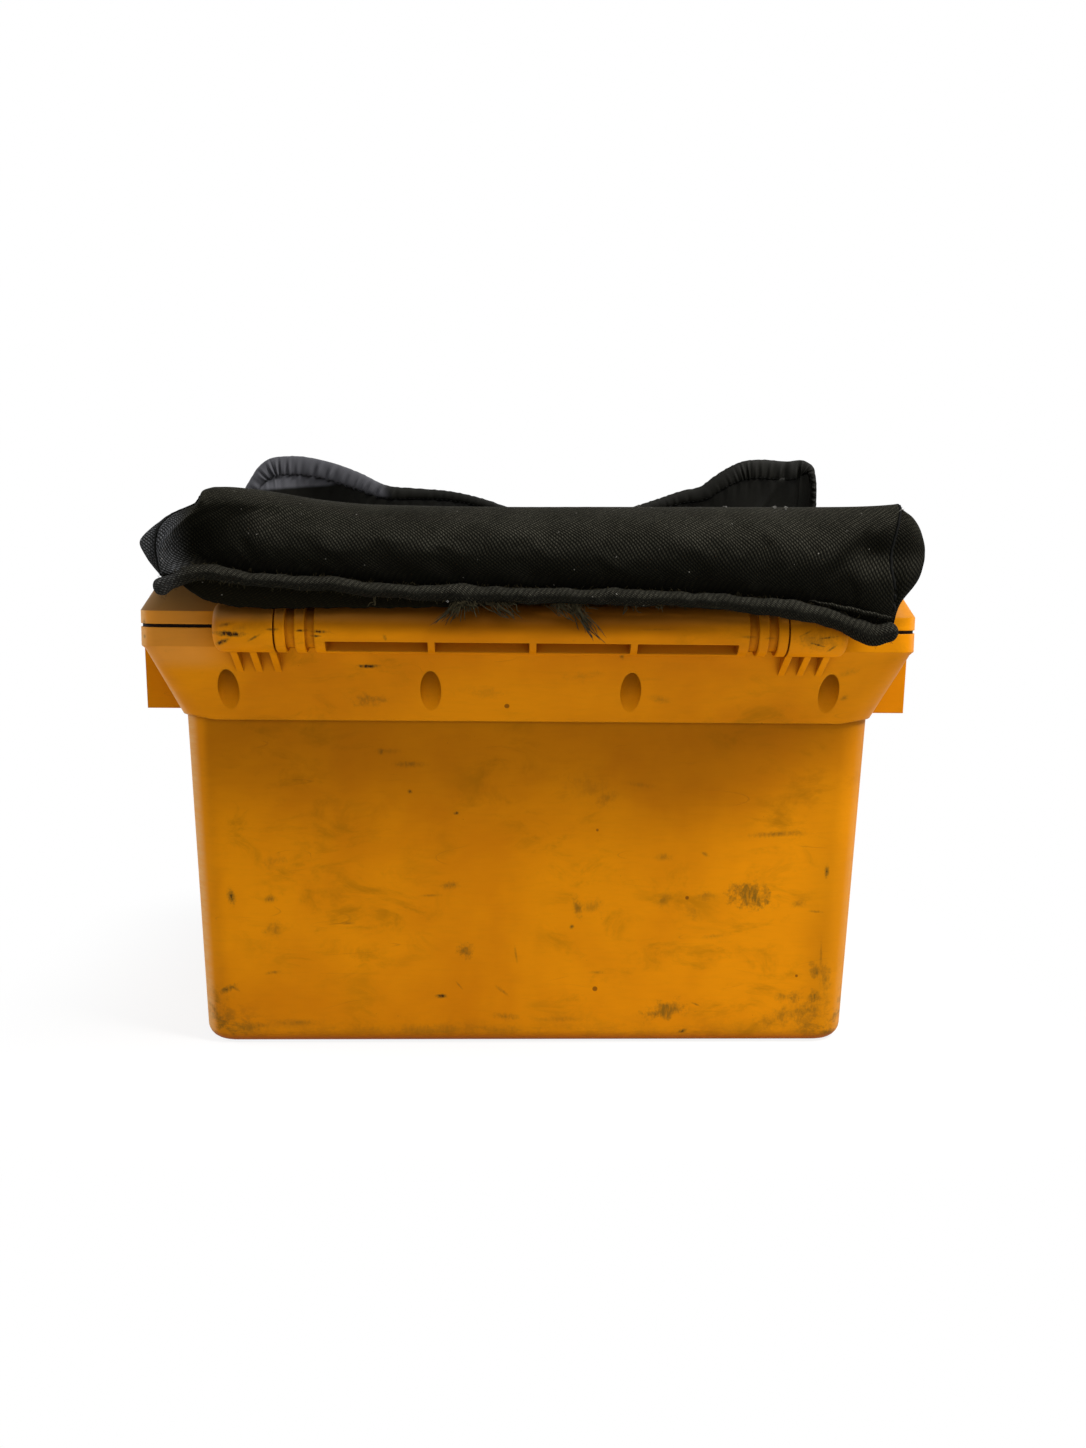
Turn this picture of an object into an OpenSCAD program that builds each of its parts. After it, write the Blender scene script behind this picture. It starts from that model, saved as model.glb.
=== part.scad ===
// Lidded carrying crate: a drafted tub, a flared collar screwed round its mouth, a lid on a long
// barrel hinge, two swing-up latches, hand grips, a slatted bottle divider and a loose seat pad.
// The hinge side faces -Y, the latches +Y. The origin is on the floor under the tub's centre.

/* [Rim and collar] */
// Width over the collar's upright band
rim_w = 460; // [420:2:500]
// Depth over the collar's upright band
rim_d = 330; // [300:2:360]
// Height of the collar's top face above the floor
rim_z = 263.5; // [231:0.5:301]
// Corner radius of the band and the lid
rim_r = 14; // [12:1:20]
// Height of the upright band
band_h = 11; // [8:1:13]
// Chamfer from the band in to the top of the flare
band_step = 2; // [1:0.5:3]
// Height of the sloping flare
flare_h = 44.5; // [38:0.5:48]
// Inward run of the flare at the hinge side and the front
flare_run = 22.5; // [20:0.5:26]
// Inward run of the flare at the two ends
flare_run_end = 15.5; // [12.5:0.5:18]
// Corner radius at the foot of the flare
foot_r = 23; // [18:1:26]
// Wall of the flare
skin = 3.5; // [2.5:0.5:4.5]
// Thickness of the collar's top deck
deck_t = 4; // [3:0.5:5]

/* [Tub] */
// Wall and floor of the tub
wall = 4; // [3:0.5:5]
// Draft of the tub walls in degrees
draft = 2.1; // [1:0.1:3.6]
// Step from the foot of the flare in to the tub wall at the long sides
foot_step = 1.5; // [1:0.5:3]
// Step from the foot of the flare in to the tub wall at the ends
foot_step_end = 1; // [1:0.5:3]
// Vertical corner radius of the tub
tub_r = 20; // [18:1:28]
// Radius of the bottom edge
edge_r = 9; // [8:1:18]
// Thickness of the tub's top flange
flange_t = 4; // [3:0.5:6]
// Reach of the flange from the tub wall at the long sides
flange_out = 16; // [14:0.5:17]
// Reach of the flange from the tub wall at the ends
flange_out_end = 8; // [6:0.5:9]

/* [Screw wells] */
// Spacing of the wells along the collar
well_pitch = 120; // [100:2:124]
// Number of wells on each long side
wells = 4; // [2:1:4]
// Bore of a well
well_d = 12.5; // [12:0.5:15]
// Drop of a well's middle below the middle of the flare
well_low = 2; // [1:0.5:4]
// Depth of a well's ceiling below the collar's top face
well_drop = 20; // [19:0.5:21]
// Wall round a well inside the collar
well_wall = 3; // [2:0.5:4]
// Diameter of the collar screws
screw_d = 4; // [3:0.5:5]
// Head diameter of the screws
head_d = 8.5; // [8:0.5:10]
// Height of the screw heads
head_h = 3; // [2:0.2:4]

/* [Hinge] */
// Radius of the hinge barrel and end caps
barrel_r = 14.4; // [13:0.1:15]
// Distance of the hinge axis behind the band
hinge_out = 9; // [7:0.5:11]
// Height of the hinge axis above the collar's top face
hinge_rise = 1; // [0:0.1:1.5]
// Length of the lid's barrel
barrel_len = 293; // [280:1:300]
// Slit between the barrel and each end cap
slit = 0.8; // [0.5:0.1:1.5]
// Length of each end cap
cap_len = 34.5; // [28:0.5:38]
// Rounding of an end cap's outer edge
cap_r = 5; // [2:0.5:7]
// Width of the two rings at each barrel end
ring_w = 6; // [5:0.2:7]
// Width of the grooves beside the rings
groove_w = 5.2; // [4:0.2:6]
// Depth of the grooves
groove_depth = 3; // [1.5:0.5:4]
// Chamfer on the ring edges
ring_chamfer = 0.6; // [0.3:0.1:1]
// Spacing of the ribs between the barrel windows
window_pitch = 58; // [50:1:62]
// Width of the ribs between the windows
window_rib = 4; // [3:0.5:6]
// Solid length at each end of the row of windows
window_end = 6; // [4:0.5:10]
// Radius of the barrel's core behind the windows
core_r = 8; // [7:0.5:9]
// Diameter of the hinge pins
pin_d = 8; // [6:0.5:9]
// Length of the hinge pins
pin_len = 58; // [50:1:62]
// Gusset ribs under each end cap
gussets = 3; // [2:1:3]
// Spacing of the gusset ribs
gusset_pitch = 11.2; // [9:0.2:12]
// Thickness of a gusset rib
gusset_t = 4; // [3:0.5:5]
// Drop of the gusset ribs below the hinge axis
gusset_drop = 27; // [22:1:32]

/* [Lid] */
// Height of the lid's upright band
lid_band = 7.6; // [6:0.2:10]
// Height of the lid above the gap
lid_h = 31; // [28:1:38]
// Inward run of the lid's sloping shoulder
shoulder = 11; // [8:1:16]
// Rounding of the lid's top edge
lid_edge = 3; // [2:0.5:5]
// Thickness of the lid's skin
lid_t = 3.5; // [2.5:0.5:4.5]
// Gap between the collar and the lid
lid_gap = 2; // [1.8:0.2:3]
// Depth of the stiffening ribs under the lid
lid_rib = 8; // [5:1:10]
// Thickness of the stiffening ribs
lid_rib_t = 2.5; // [2:0.5:4]
// Distance of the two long ribs from the middle
lid_rib_y = 55; // [40:1:70]
// Distance of the two outer cross ribs from the middle
lid_rib_x = 110; // [80:1:130]
// Drop of the liner's tongue into the mouth
tongue_drop = 6; // [4:0.5:9]
// Thickness of the tongue and of the liner ring
liner_t = 3; // [2:0.5:4]
// Height of the liner ring above the lid's lower edge
liner_rise = 2; // [1.5:0.5:3]
// Width of the raised ring of the rubber seal
gasket_w = 8; // [6:0.5:9]
// Distance of the seal's skirt from the collar's edge
skirt_in = 1; // [0.5:0.5:3]

/* [Latches] */
// Distance of each latch from the middle
latch_x = 130; // [100:2:150]
// Width of a latch
latch_w = 44; // [36:1:50]
// Distance of the latch pivot in front of the band
latch_out = 8.5; // [8:0.5:10]
// Drop of the latch pivot below the collar's top face
latch_drop = 19.5; // [18:0.5:21]
// Thickness of a latch
latch_t = 4; // [3:0.5:4.5]
// Diameter of the latch pins
latch_pin_d = 4; // [3:0.5:5]
// Reach of the catch ridges on the lid
catch_out = 4.5; // [3.5:0.5:5]
// Height of the catch ridges
catch_h = 5; // [4:0.5:6]
// Reach of the finger lip past a latch's face
lip_out = 5; // [3:0.5:7]
// Thickness of the ears that carry a latch
ear_t = 5; // [4:0.5:7]
// Wall of an ear round its pin
ear_wall = 3.5; // [2.5:0.5:4]
// Drop of an ear's foot below the pin
ear_drop = 13; // [10:1:16]

/* [Grips] */
// Length of a hand grip
grip_len = 220; // [160:5:230]
// Reach of a grip past the band
grip_out = 10; // [9:0.5:20]
// Height of a grip
grip_h = 42; // [35:0.5:45]
// Wall of a grip
grip_t = 4; // [3:0.5:5]
// Inward lean of the grip's outer wall
grip_lean = 1; // [0:0.5:5]
// Spacing of the two screws of a grip
grip_screw_pitch = 160; // [100:5:180]
// Length of the grip screws under their heads
grip_screw_len = 11; // [9:0.5:12]

/* [Bottle divider] */
// Height of the divider slats
slat_h = 150; // [100:5:180]
// Thickness of a slat
slat_t = 3; // [2:0.5:4]
// Spacing of the three cross slats
cross_pitch = 98; // [90:1:104]
// Spacing of the two long slats
long_pitch = 84; // [76:1:92]

/* [Seat pad] */
// Width of the pad
pad_w = 446; // [420:2:460]
// Overhang of the pad's roll behind the band
pad_over = 34; // [30:1:38]
// Depth of the pad
pad_d = 262; // [220:2:280]
// Thickness of the pad over the lid
pad_h = 33; // [30:1:38]
// Height of the roll along the hinge side, over the lid
roll_h = 40; // [36:1:46]
// Width of the roll
roll_w = 56; // [48:2:64]
// Rounding of the pad's edges
pad_edge = 14; // [10:1:16]
// Hang of the roll below the lid's top
pad_hang = 9; // [4:1:11]
// Height of the gathered hem at its two peaks, above the lid
hem_h = 86; // [60:2:90]
// Thickness of the gathered hem
hem_t = 10; // [6:1:14]

/* [Hidden] */

// Clearances
seat_gap = 0.1;    // between fixed pieces that seat on each other
pin_gap = 0.05;    // radial, round a turning pin
fix_gap = 0.02;    // radial, round a fixed pin or screw
pin_rest = 2;      // between a pin's ends and the ends of its bores
swing_gap = 0.8;   // round the hinge barrel and caps, and over the catch ridges
tongue_gap = 1.2;  // between the tongue and the mouth
slat_gap = 0.2;    // each side of a slat in its slot
slat_end_gap = 0.6; // between a slat's ends and the tub walls
soft_gap = 0.3;    // under soft pieces
eps = 0.01;
over = 1;          // how far a cutter runs past what it cuts
lap = 4;           // how far a rib runs into what carries it

// Heights
band_z = rim_z - band_h;
flare_z = band_z - band_step;
foot_z = flare_z - flare_h;
flange_z = rim_z - deck_t - flange_t;
well_z = rim_z - well_drop;
lid_z = rim_z + lid_gap;
lid_top = lid_z + lid_h;
axis_y = -rim_d / 2 - hinge_out;
axis_z = rim_z + hinge_rise;
pivot_y = rim_d / 2 + latch_out;
pivot_z = rim_z - latch_drop;

// Half sizes of the flare at a height: at the long sides and at the ends
function flare_y(z) = rim_d / 2 - band_step - flare_run * (flare_z - z) / flare_h;
function flare_x(z) = rim_w / 2 - band_step - flare_run_end * (flare_z - z) / flare_h;

// Half sizes of the tub's outside at a height
tub_y0 = flare_y(foot_z) - foot_step;
tub_x0 = flare_x(foot_z) - foot_step_end;
function tub_y(z) = tub_y0 + (z - foot_z) * tan(draft);
function tub_x(z) = tub_x0 + (z - foot_z) * tan(draft);

well_y = flare_y((foot_z + flare_z) / 2 - well_low);
mouth_x = tub_x(rim_z) - wall;
mouth_y = tub_y(rim_z) - wall;
gasket_x = (rim_w / 2 + mouth_x) / 2;
gasket_y = (rim_d / 2 + mouth_y) / 2;
main_len = barrel_len - 4 * ring_w - 4 * groove_w;
cap_x = barrel_len / 2 + slit;
pin_out = cap_x + cap_len - pin_rest;
flare_r = rim_r - 1;
notch_r = barrel_r + swing_gap;

orange = [0.78, 0.47, 0.02];
steel = [0.68, 0.69, 0.70];
black = [0.05, 0.05, 0.06];
slat_grey = [0.55, 0.56, 0.58];

// Four discs at the corners of a rectangle given by its half sizes, for a hull
module corners(hx, hy, r, z, h = eps) {
    for (sx = [-1, 1], sy = [-1, 1])
        translate([sx * (hx - r), sy * (hy - r), z]) cylinder(r = r, h = h, $fn = 40);
}

// A block with rounded vertical corners
module block(hx, hy, r, z, h) {
    hull() corners(hx, hy, r, z, h);
}

// A drafted box with a rounded bottom edge, shrunk by t all round and raised by t
module bin(t, top_z) {
    r = tub_r - t;
    e = min(edge_r, tub_r - over) - t;
    hull() {
        corners(tub_x(top_z) - t, tub_y(top_z) - t, r, top_z - eps);
        for (a = [0 : 15 : 90]) {
            inset = e * (1 - cos(a));
            z = t + e * (1 - sin(a));
            corners(tub_x(z) - t - inset, tub_y(z) - t - inset, r - inset, z);
        }
    }
}

// A disc on the X axis with chamfered rims, from x0 to x1
module disc(x0, x1, r, chamfer) {
    l = x1 - x0;
    translate([x0, 0, 0]) rotate([0, 90, 0])
        rotate_extrude($fn = 96)
            polygon([[0, 0], [r - chamfer, 0], [r, chamfer], [r, l - chamfer], [r - chamfer, l], [0, l]]);
}

// A plain rod on the X axis, from x0 to x1
module rod(x0, x1, r) {
    translate([x0, 0, 0]) rotate([0, 90, 0]) cylinder(r = r, h = x1 - x0, $fn = 96);
}

// Moves its children on to the hinge axis
module at_hinge() {
    translate([0, axis_y, axis_z]) children();
}

// Extrudes an outline drawn in Y and Z along X, from x0
module along_x(x0, l) {
    translate([x0, 0, 0]) rotate([90, 0, 90]) linear_extrude(l) children();
}

// Extrudes an outline drawn in X and Z along Y, centred
module along_y(l) {
    translate([0, l / 2, 0]) rotate([90, 0, 0]) linear_extrude(l) children();
}

// Places its children at each screw well, both long sides
module at_wells() {
    for (i = [0 : wells - 1], side = [-1, 1])
        translate([(i - (wells - 1) / 2) * well_pitch, side * well_y, 0]) children();
}

module tub() {
    color(orange) difference() {
        union() {
            bin(0, flange_z + flange_t);
            block(tub_x(flange_z) + flange_out_end, tub_y(flange_z) + flange_out, tub_r, flange_z, flange_t);
        }
        bin(wall, flange_z + flange_t + over);
        at_wells() translate([0, 0, flange_z - over])
            cylinder(d = screw_d + 2 * fix_gap, h = flange_t + 2 * over, $fn = 32);
    }
}

// End cap of the hinge on the +X side: a round knuckle with a rounded outer edge
module end_cap() {
    translate([cap_x, 0, 0]) rotate([0, 90, 0]) rotate_extrude($fn = 96) {
        square([barrel_r, cap_len - cap_r]);
        square([barrel_r - cap_r, cap_len]);
        translate([barrel_r - cap_r, cap_len - cap_r]) intersection() {
            circle(r = cap_r, $fn = 64);
            square(cap_r);
        }
    }
}

// Gusset ribs that carry the end cap on the +X side
module cap_gussets() {
    low_z = axis_z - gusset_drop;
    for (i = [0 : gussets - 1])
        along_x(cap_x + i * gusset_pitch, gusset_t)
            polygon([
                [axis_y - lap / 2, axis_z - barrel_r + eps],
                [-flare_y(low_z), low_z],
                [-flare_y(low_z) + skin, low_z],
                [-flare_y(flare_z) + skin, axis_z - lap],
                [axis_y, axis_z - lap]
            ]);
}

// Two ears for one latch, centred on X = 0
module latch_ears() {
    ear_r = latch_pin_d / 2 + ear_wall;
    low_z = pivot_z - ear_drop;
    for (x = [-latch_w / 2 - swing_gap - ear_t, latch_w / 2 + swing_gap]) {
        translate([0, pivot_y, pivot_z]) rod(x, x + ear_t, ear_r);
        along_x(x, ear_t) polygon([
            [flare_y(low_z) - skin / 2, low_z],
            [flare_y(low_z), low_z],
            [pivot_y, pivot_z - ear_r],
            [pivot_y, pivot_z + ear_r],
            [flare_y(flare_z) - skin / 2, pivot_z + ear_r]
        ]);
    }
}

module rim_frame() {
    color(orange) difference() {
        union() {
            hull() {
                corners(rim_w / 2 - band_step, rim_d / 2 - band_step, flare_r, flare_z);
                corners(rim_w / 2, rim_d / 2, rim_r, band_z, band_h);
            }
            hull() {
                corners(flare_x(foot_z), flare_y(foot_z), foot_r, foot_z);
                corners(flare_x(flare_z), flare_y(flare_z), flare_r, flare_z);
            }
            at_hinge() {
                end_cap();
                mirror([1, 0, 0]) end_cap();
            }
            cap_gussets();
            mirror([1, 0, 0]) cap_gussets();
            for (side = [-1, 1]) translate([side * latch_x, 0, 0]) latch_ears();
        }
        // Closed space between the flare and the tub, left solid round each well
        difference() {
            hull() {
                corners(flare_x(foot_z) - skin, flare_y(foot_z) - skin, foot_r - skin, foot_z + skin);
                corners(flare_x(flange_z - skin) - skin, flare_y(flange_z - skin) - skin, rim_r - skin,
                    flange_z - skin);
                corners(tub_x(flange_z) + flange_out_end + seat_gap, tub_y(flange_z) + flange_out + seat_gap,
                    tub_r, flange_z, flange_t);
            }
            at_wells() translate([0, 0, foot_z])
                cylinder(d = well_d + 2 * well_wall, h = flange_z - foot_z, $fn = 64);
        }
        // Seat of the tub, and the mouth above it
        block(tub_x(flange_z) + seat_gap, tub_y(flange_z) + seat_gap, tub_r, foot_z - over,
            flange_z - foot_z + over + eps);
        block(mouth_x, mouth_y, tub_r - wall, foot_z, rim_z - foot_z + over);
        // Wells, open underneath, and their screw holes
        at_wells() {
            translate([0, 0, foot_z - over]) cylinder(d = well_d, h = well_z - foot_z + over, $fn = 64);
            cylinder(d = screw_d + 2 * fix_gap, h = flange_z + over, $fn = 32);
        }
        at_hinge() {
            rod(-cap_x, cap_x, notch_r);
            rod(-cap_x - cap_len - over, cap_x + cap_len + over, pin_d / 2 + fix_gap);
        }
        for (side = [-1, 1]) translate([side * latch_x, pivot_y, pivot_z])
            rod(-latch_w, latch_w, latch_pin_d / 2 + fix_gap);
        grip_screw_holes();
    }
}

// Holes for the grip screws in both ends of the band
module grip_screw_holes() {
    for (side = [-1, 1], y = [-1, 1])
        translate([side * (rim_w / 2 + over), y * grip_screw_pitch / 2, rim_z - band_h / 2])
            rotate([0, -side * 90, 0])
                cylinder(d = screw_d + 2 * fix_gap, h = grip_screw_len - grip_t + 2 * over, $fn = 32);
}

// Hand grip on the +X side: outer wall, top wall, two end walls and a fixing lip, open underneath
module grip() {
    low_z = band_z - grip_h;
    top_x = rim_w / 2 + grip_out;
    in_x = rim_w / 2 + seat_gap;
    difference() {
        union() {
            along_y(grip_len)
                polygon([
                    [flare_x(low_z) + seat_gap, low_z],
                    [top_x - grip_lean, low_z],
                    [top_x, band_z],
                    [in_x, band_z],
                    [in_x - band_step, flare_z]
                ]);
            translate([in_x, -grip_len / 2, band_z - eps]) cube([grip_t, grip_len, band_h - over]);
        }
        along_y(grip_len - 2 * grip_t)
            polygon([
                [tub_x0, low_z - over],
                [top_x - grip_lean - grip_t, low_z - over],
                [top_x - grip_t, band_z - grip_t],
                [tub_x0, band_z - grip_t]
            ]);
        for (y = [-1, 1]) translate([in_x - over, y * grip_screw_pitch / 2, rim_z - band_h / 2])
            rotate([0, 90, 0]) cylinder(d = screw_d + 2 * fix_gap, h = grip_t + 2 * over, $fn = 32);
    }
}

module grip_left() {
    color(orange) mirror([1, 0, 0]) grip();
}

module grip_right() {
    color(orange) grip();
}

// Pan-head screw pointing up, with the underside of its head at z = 0
module screw(length) {
    cylinder(d = screw_d, h = length, $fn = 32);
    translate([0, 0, -head_h]) difference() {
        cylinder(d = head_d, h = head_h, $fn = 48);
        translate([0, 0, -eps]) cylinder(d = screw_d, h = head_h / 2, $fn = 6);
    }
}

module rim_screws() {
    color(steel) at_wells() translate([0, 0, well_z]) screw(flange_z + flange_t - well_z - over);
}

module grip_screws() {
    color(steel) for (side = [-1, 1], y = [-1, 1])
        translate([side * (rim_w / 2 + seat_gap + grip_t), y * grip_screw_pitch / 2, rim_z - band_h / 2])
            rotate([0, -side * 90, 0]) screw(grip_screw_len);
}

// Hinge pin of the +X side
module hinge_pin() {
    color(steel) at_hinge() disc(pin_out - pin_len, pin_out, pin_d / 2, ring_chamfer);
}

module hinge_pin_left() {
    mirror([1, 0, 0]) hinge_pin();
}

module hinge_pin_right() {
    hinge_pin();
}

module latch_pin(side) {
    l = latch_w / 2 + swing_gap + ear_t;
    color(steel) translate([side * latch_x, pivot_y, pivot_z]) disc(-l, l, latch_pin_d / 2, ring_chamfer);
}

module latch_pin_left() {
    latch_pin(-1);
}

module latch_pin_right() {
    latch_pin(1);
}

// Latch hanging open from its pivot: knuckle, plate, hook and finger lip
module latch(side) {
    knuckle_r = latch_pin_d / 2 + ear_wall - 1;
    face_y = rim_d / 2 + catch_out + swing_gap - pivot_y;
    out_y = face_y + latch_t;
    tip_y = face_y - catch_out + swing_gap;
    hook_z = catch_top() + swing_gap - pivot_z;
    top_z = hook_z + latch_t;
    bevel = latch_t / 2;
    color(orange) translate([side * latch_x, pivot_y, pivot_z]) rotate([180, 0, 0]) difference() {
        union() {
            rod(-latch_w / 2, latch_w / 2, knuckle_r);
            along_x(-latch_w / 2, latch_w) polygon([
                [face_y, 0],
                [face_y, hook_z],
                [tip_y, hook_z],
                [tip_y, top_z - bevel],
                [tip_y + bevel, top_z],
                [out_y, top_z],
                [out_y + lip_out - bevel, top_z + lip_out],
                [out_y + lip_out, top_z + lip_out - bevel / 2],
                [out_y, hook_z - bevel],
                [out_y, 0]
            ]);
        }
        rod(-latch_w, latch_w, latch_pin_d / 2 + pin_gap);
    }
}

module latch_left() {
    latch(-1);
}

module latch_right() {
    latch(1);
}

function catch_top() = lid_z + lid_band - 0.5;

// Ridges on the front of the lid that the latches hook over
module catches() {
    top_z = catch_top();
    for (side = [-1, 1]) along_x(side * latch_x - latch_w / 2, latch_w)
        polygon([
            [rim_d / 2 - over, top_z - catch_h],
            [rim_d / 2, top_z - catch_h],
            [rim_d / 2 + catch_out, top_z - catch_h / 2],
            [rim_d / 2 + catch_out, top_z],
            [rim_d / 2 - over, top_z]
        ]);
}

// Outline of the lid, shrunk by t all round and cut off t below the top
module lid_form(t) {
    top = lid_top - t;
    hx = rim_w / 2 - t;
    hy = rim_d / 2 - t;
    hull() {
        corners(hx, hy, rim_r - t, lid_z - (t > 0 ? over : 0), lid_band);
        corners(hx - shoulder, hy - shoulder, rim_r - t, top - lid_edge);
        corners(hx - shoulder - lid_edge, hy - shoulder - lid_edge, rim_r - t, top - eps);
    }
}

// One window of the hinge barrel: a pocket that leaves the core and a thin lower lip
module window(x0, l) {
    upper = 210;
    lower = 247;
    reach = 3 * barrel_r;
    along_x(x0, l) intersection() {
        difference() {
            circle(r = barrel_r + over, $fn = 96);
            circle(r = core_r, $fn = 96);
        }
        polygon([[0, 0], reach * [cos(upper), sin(upper)],
            reach * [cos((upper + lower) / 2), sin((upper + lower) / 2)], reach * [cos(lower), sin(lower)]]);
    }
}

// The lid's hinge barrel on the X axis: core, main length, two rings at each end, four windows
module barrel() {
    ring_step = ring_w + groove_w;
    difference() {
        union() {
            rod(-barrel_len / 2, barrel_len / 2, barrel_r - groove_depth);
            disc(-main_len / 2, main_len / 2, barrel_r, ring_chamfer);
            for (side = [0, 1], i = [0, 1]) mirror([side, 0, 0])
                disc(barrel_len / 2 - ring_w - i * ring_step, barrel_len / 2 - i * ring_step, barrel_r,
                    ring_chamfer);
        }
        for (side = [0, 1]) mirror([side, 0, 0]) {
            window(window_rib / 2, window_pitch - window_rib);
            window(window_pitch + window_rib / 2,
                main_len / 2 - window_end - window_pitch - window_rib / 2);
            rod(pin_out - pin_len - pin_rest, barrel_len / 2 + over, pin_d / 2 + pin_gap);
        }
    }
}

module lid_shell() {
    notch_end = cap_x + cap_len + swing_gap;
    rib_z = lid_top - lid_t - lid_rib;
    color(orange) {
        difference() {
            union() {
                lid_form(0);
                catches();
            }
            // Hollow of the lid, less its ribs and the walls round the cap notches
            difference() {
                lid_form(lid_t);
                for (side = [-1, 1])
                    translate([-rim_w / 2, side * lid_rib_y - lid_rib_t / 2, rib_z])
                        cube([rim_w, lid_rib_t, lid_rib]);
                for (i = [-1 : 1])
                    translate([i * lid_rib_x - lid_rib_t / 2, -rim_d / 2, rib_z])
                        cube([lid_rib_t, rim_d, lid_rib]);
                for (side = [0, 1]) mirror([side, 0, 0])
                    at_hinge() rod(barrel_len / 2 - ring_w, notch_end + liner_t, notch_r + liner_t);
            }
            for (side = [0, 1]) mirror([side, 0, 0])
                at_hinge() rod(barrel_len / 2, notch_end, notch_r);
            for (side = [0, 1]) mirror([side, 0, 0])
                at_hinge() rod(pin_out - pin_len - pin_rest, barrel_len / 2 + over, pin_d / 2 + pin_gap);
        }
        at_hinge() barrel();
    }
}

module lid_liner() {
    ring_z = lid_z + liner_rise;
    tongue_x = mouth_x - tongue_gap;
    tongue_y = mouth_y - tongue_gap;
    color(orange) difference() {
        union() {
            block(rim_w / 2 - lid_t - soft_gap, rim_d / 2 - lid_t - soft_gap, rim_r - lid_t, ring_z, liner_t);
            block(tongue_x, tongue_y, tub_r - wall, rim_z - tongue_drop, ring_z - rim_z + tongue_drop);
        }
        block(tongue_x - liner_t, tongue_y - liner_t, tub_r - wall - liner_t, rim_z - tongue_drop - over,
            tongue_drop + lid_gap + liner_rise + liner_t + 2 * over);
        at_hinge() rod(-rim_w / 2, rim_w / 2, notch_r + liner_t + soft_gap);
    }
}

// Rubber seal: a raised ring, and a thin skirt that fills the gap out to near the collar's edge
module lid_gasket() {
    low_z = rim_z + seat_gap;
    color(black) difference() {
        union() {
            block(gasket_x + gasket_w / 2, gasket_y + gasket_w / 2, tub_r, low_z, lid_z + liner_rise - low_z);
            block(rim_w / 2 - skirt_in, rim_d / 2 - skirt_in, rim_r - skirt_in, low_z,
                lid_gap - 2 * seat_gap);
        }
        block(gasket_x - gasket_w / 2, gasket_y - gasket_w / 2, tub_r - gasket_w, low_z - over,
            lid_gap + liner_rise + 2 * over);
        for (side = [0, 1]) mirror([side, 0, 0])
            at_hinge() rod(-over, cap_x + cap_len + swing_gap, notch_r + soft_gap);
    }
}

// Half-lapped slat drawn in its own plane: half length at a height follows the drafted wall
module slat(half_low, half_high, low_z, slots, open_top) {
    mid_z = low_z + slat_h / 2;
    cut_z = open_top ? mid_z - slat_gap : low_z - over;
    difference() {
        polygon([
            [-half_low + edge_r, low_z], [half_low - edge_r, low_z], [half_low, low_z + edge_r],
            [half_high, low_z + slat_h], [-half_high, low_z + slat_h], [-half_low, low_z + edge_r]
        ]);
        for (s = slots) translate([s - slat_t / 2 - slat_gap, cut_z])
            square([slat_t + 2 * slat_gap, slat_h / 2 + over + slat_gap]);
    }
}

// Half lengths of a slat at its shoulder above the bottom corners and at its top
slat_z = wall + seat_gap;
function slat_low(half) = half(slat_z + edge_r) - wall - slat_end_gap;
function slat_high(half) = half(slat_z + slat_h) - wall - slat_end_gap;

module divider_long(y) {
    low = slat_low(function (z) tub_x(z));
    high = slat_high(function (z) tub_x(z));
    color(slat_grey) translate([0, y + slat_t / 2, 0]) rotate([90, 0, 0]) linear_extrude(slat_t)
        slat(low, high, slat_z, [-cross_pitch, 0, cross_pitch], false);
}

module divider_cross(x) {
    low = slat_low(function (z) tub_y(z));
    high = slat_high(function (z) tub_y(z));
    color(slat_grey) along_x(x - slat_t / 2, slat_t)
        slat(low, high, slat_z, [-long_pitch / 2, long_pitch / 2], true);
}

module divider_long_1() {
    divider_long(-long_pitch / 2);
}

module divider_long_2() {
    divider_long(long_pitch / 2);
}

module divider_cross_1() {
    divider_cross(-cross_pitch);
}

module divider_cross_2() {
    divider_cross(0);
}

module divider_cross_3() {
    divider_cross(cross_pitch);
}

// Points of an arc, for an outline
function arc(y, z, r, from, to) =
    [for (i = [0 : 6]) [y + r * cos(from + (to - from) * i / 6), z + r * sin(from + (to - from) * i / 6)]];

// Seat pad: flat body, boxed roll hanging over the hinge side, and a gathered hem with two peaks
module seat_pad() {
    low_z = lid_top + soft_gap;
    back_y = -rim_d / 2 - pad_over;
    far_y = back_y + pad_d;
    body_z = low_z + pad_h;
    roll_z = low_z + roll_h;
    hang_z = lid_top - pad_hang;
    e = pad_edge;
    color(black) {
        intersection() {
            along_x(-pad_w / 2, pad_w) polygon(concat(
                arc(back_y + e, hang_z + e, e, 270, 180),
                arc(back_y + e, roll_z - e, e, 180, 90),
                [[back_y + roll_w - e, roll_z - lap / 2], [back_y + roll_w, body_z]],
                arc(far_y - e, body_z - e, e, 90, 0),
                arc(far_y - e, low_z + e, e, 0, -90),
                [[-rim_d / 2 + shoulder, low_z]]
            ));
            translate([0, (back_y + far_y) / 2, 0])
                block(pad_w / 2, pad_d / 2, 2 * e, hang_z - over, roll_z - hang_z + 2 * over);
        }
        hem(far_y - e, [[-0.48, 0.8], [-0.46, 0.9], [-0.42, 0.99], [-0.35, 1], [-0.29, 0.9], [-0.24, 0.77],
            [-0.14, 0.71], [-0.04, 0.58]]);
        hem(far_y - e, [[0.21, 0.56], [0.27, 0.67], [0.31, 0.77], [0.36, 0.94], [0.4, 0.98], [0.46, 0.97],
            [0.475, 0.85], [0.48, 0.7]]);
    }
}

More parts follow.
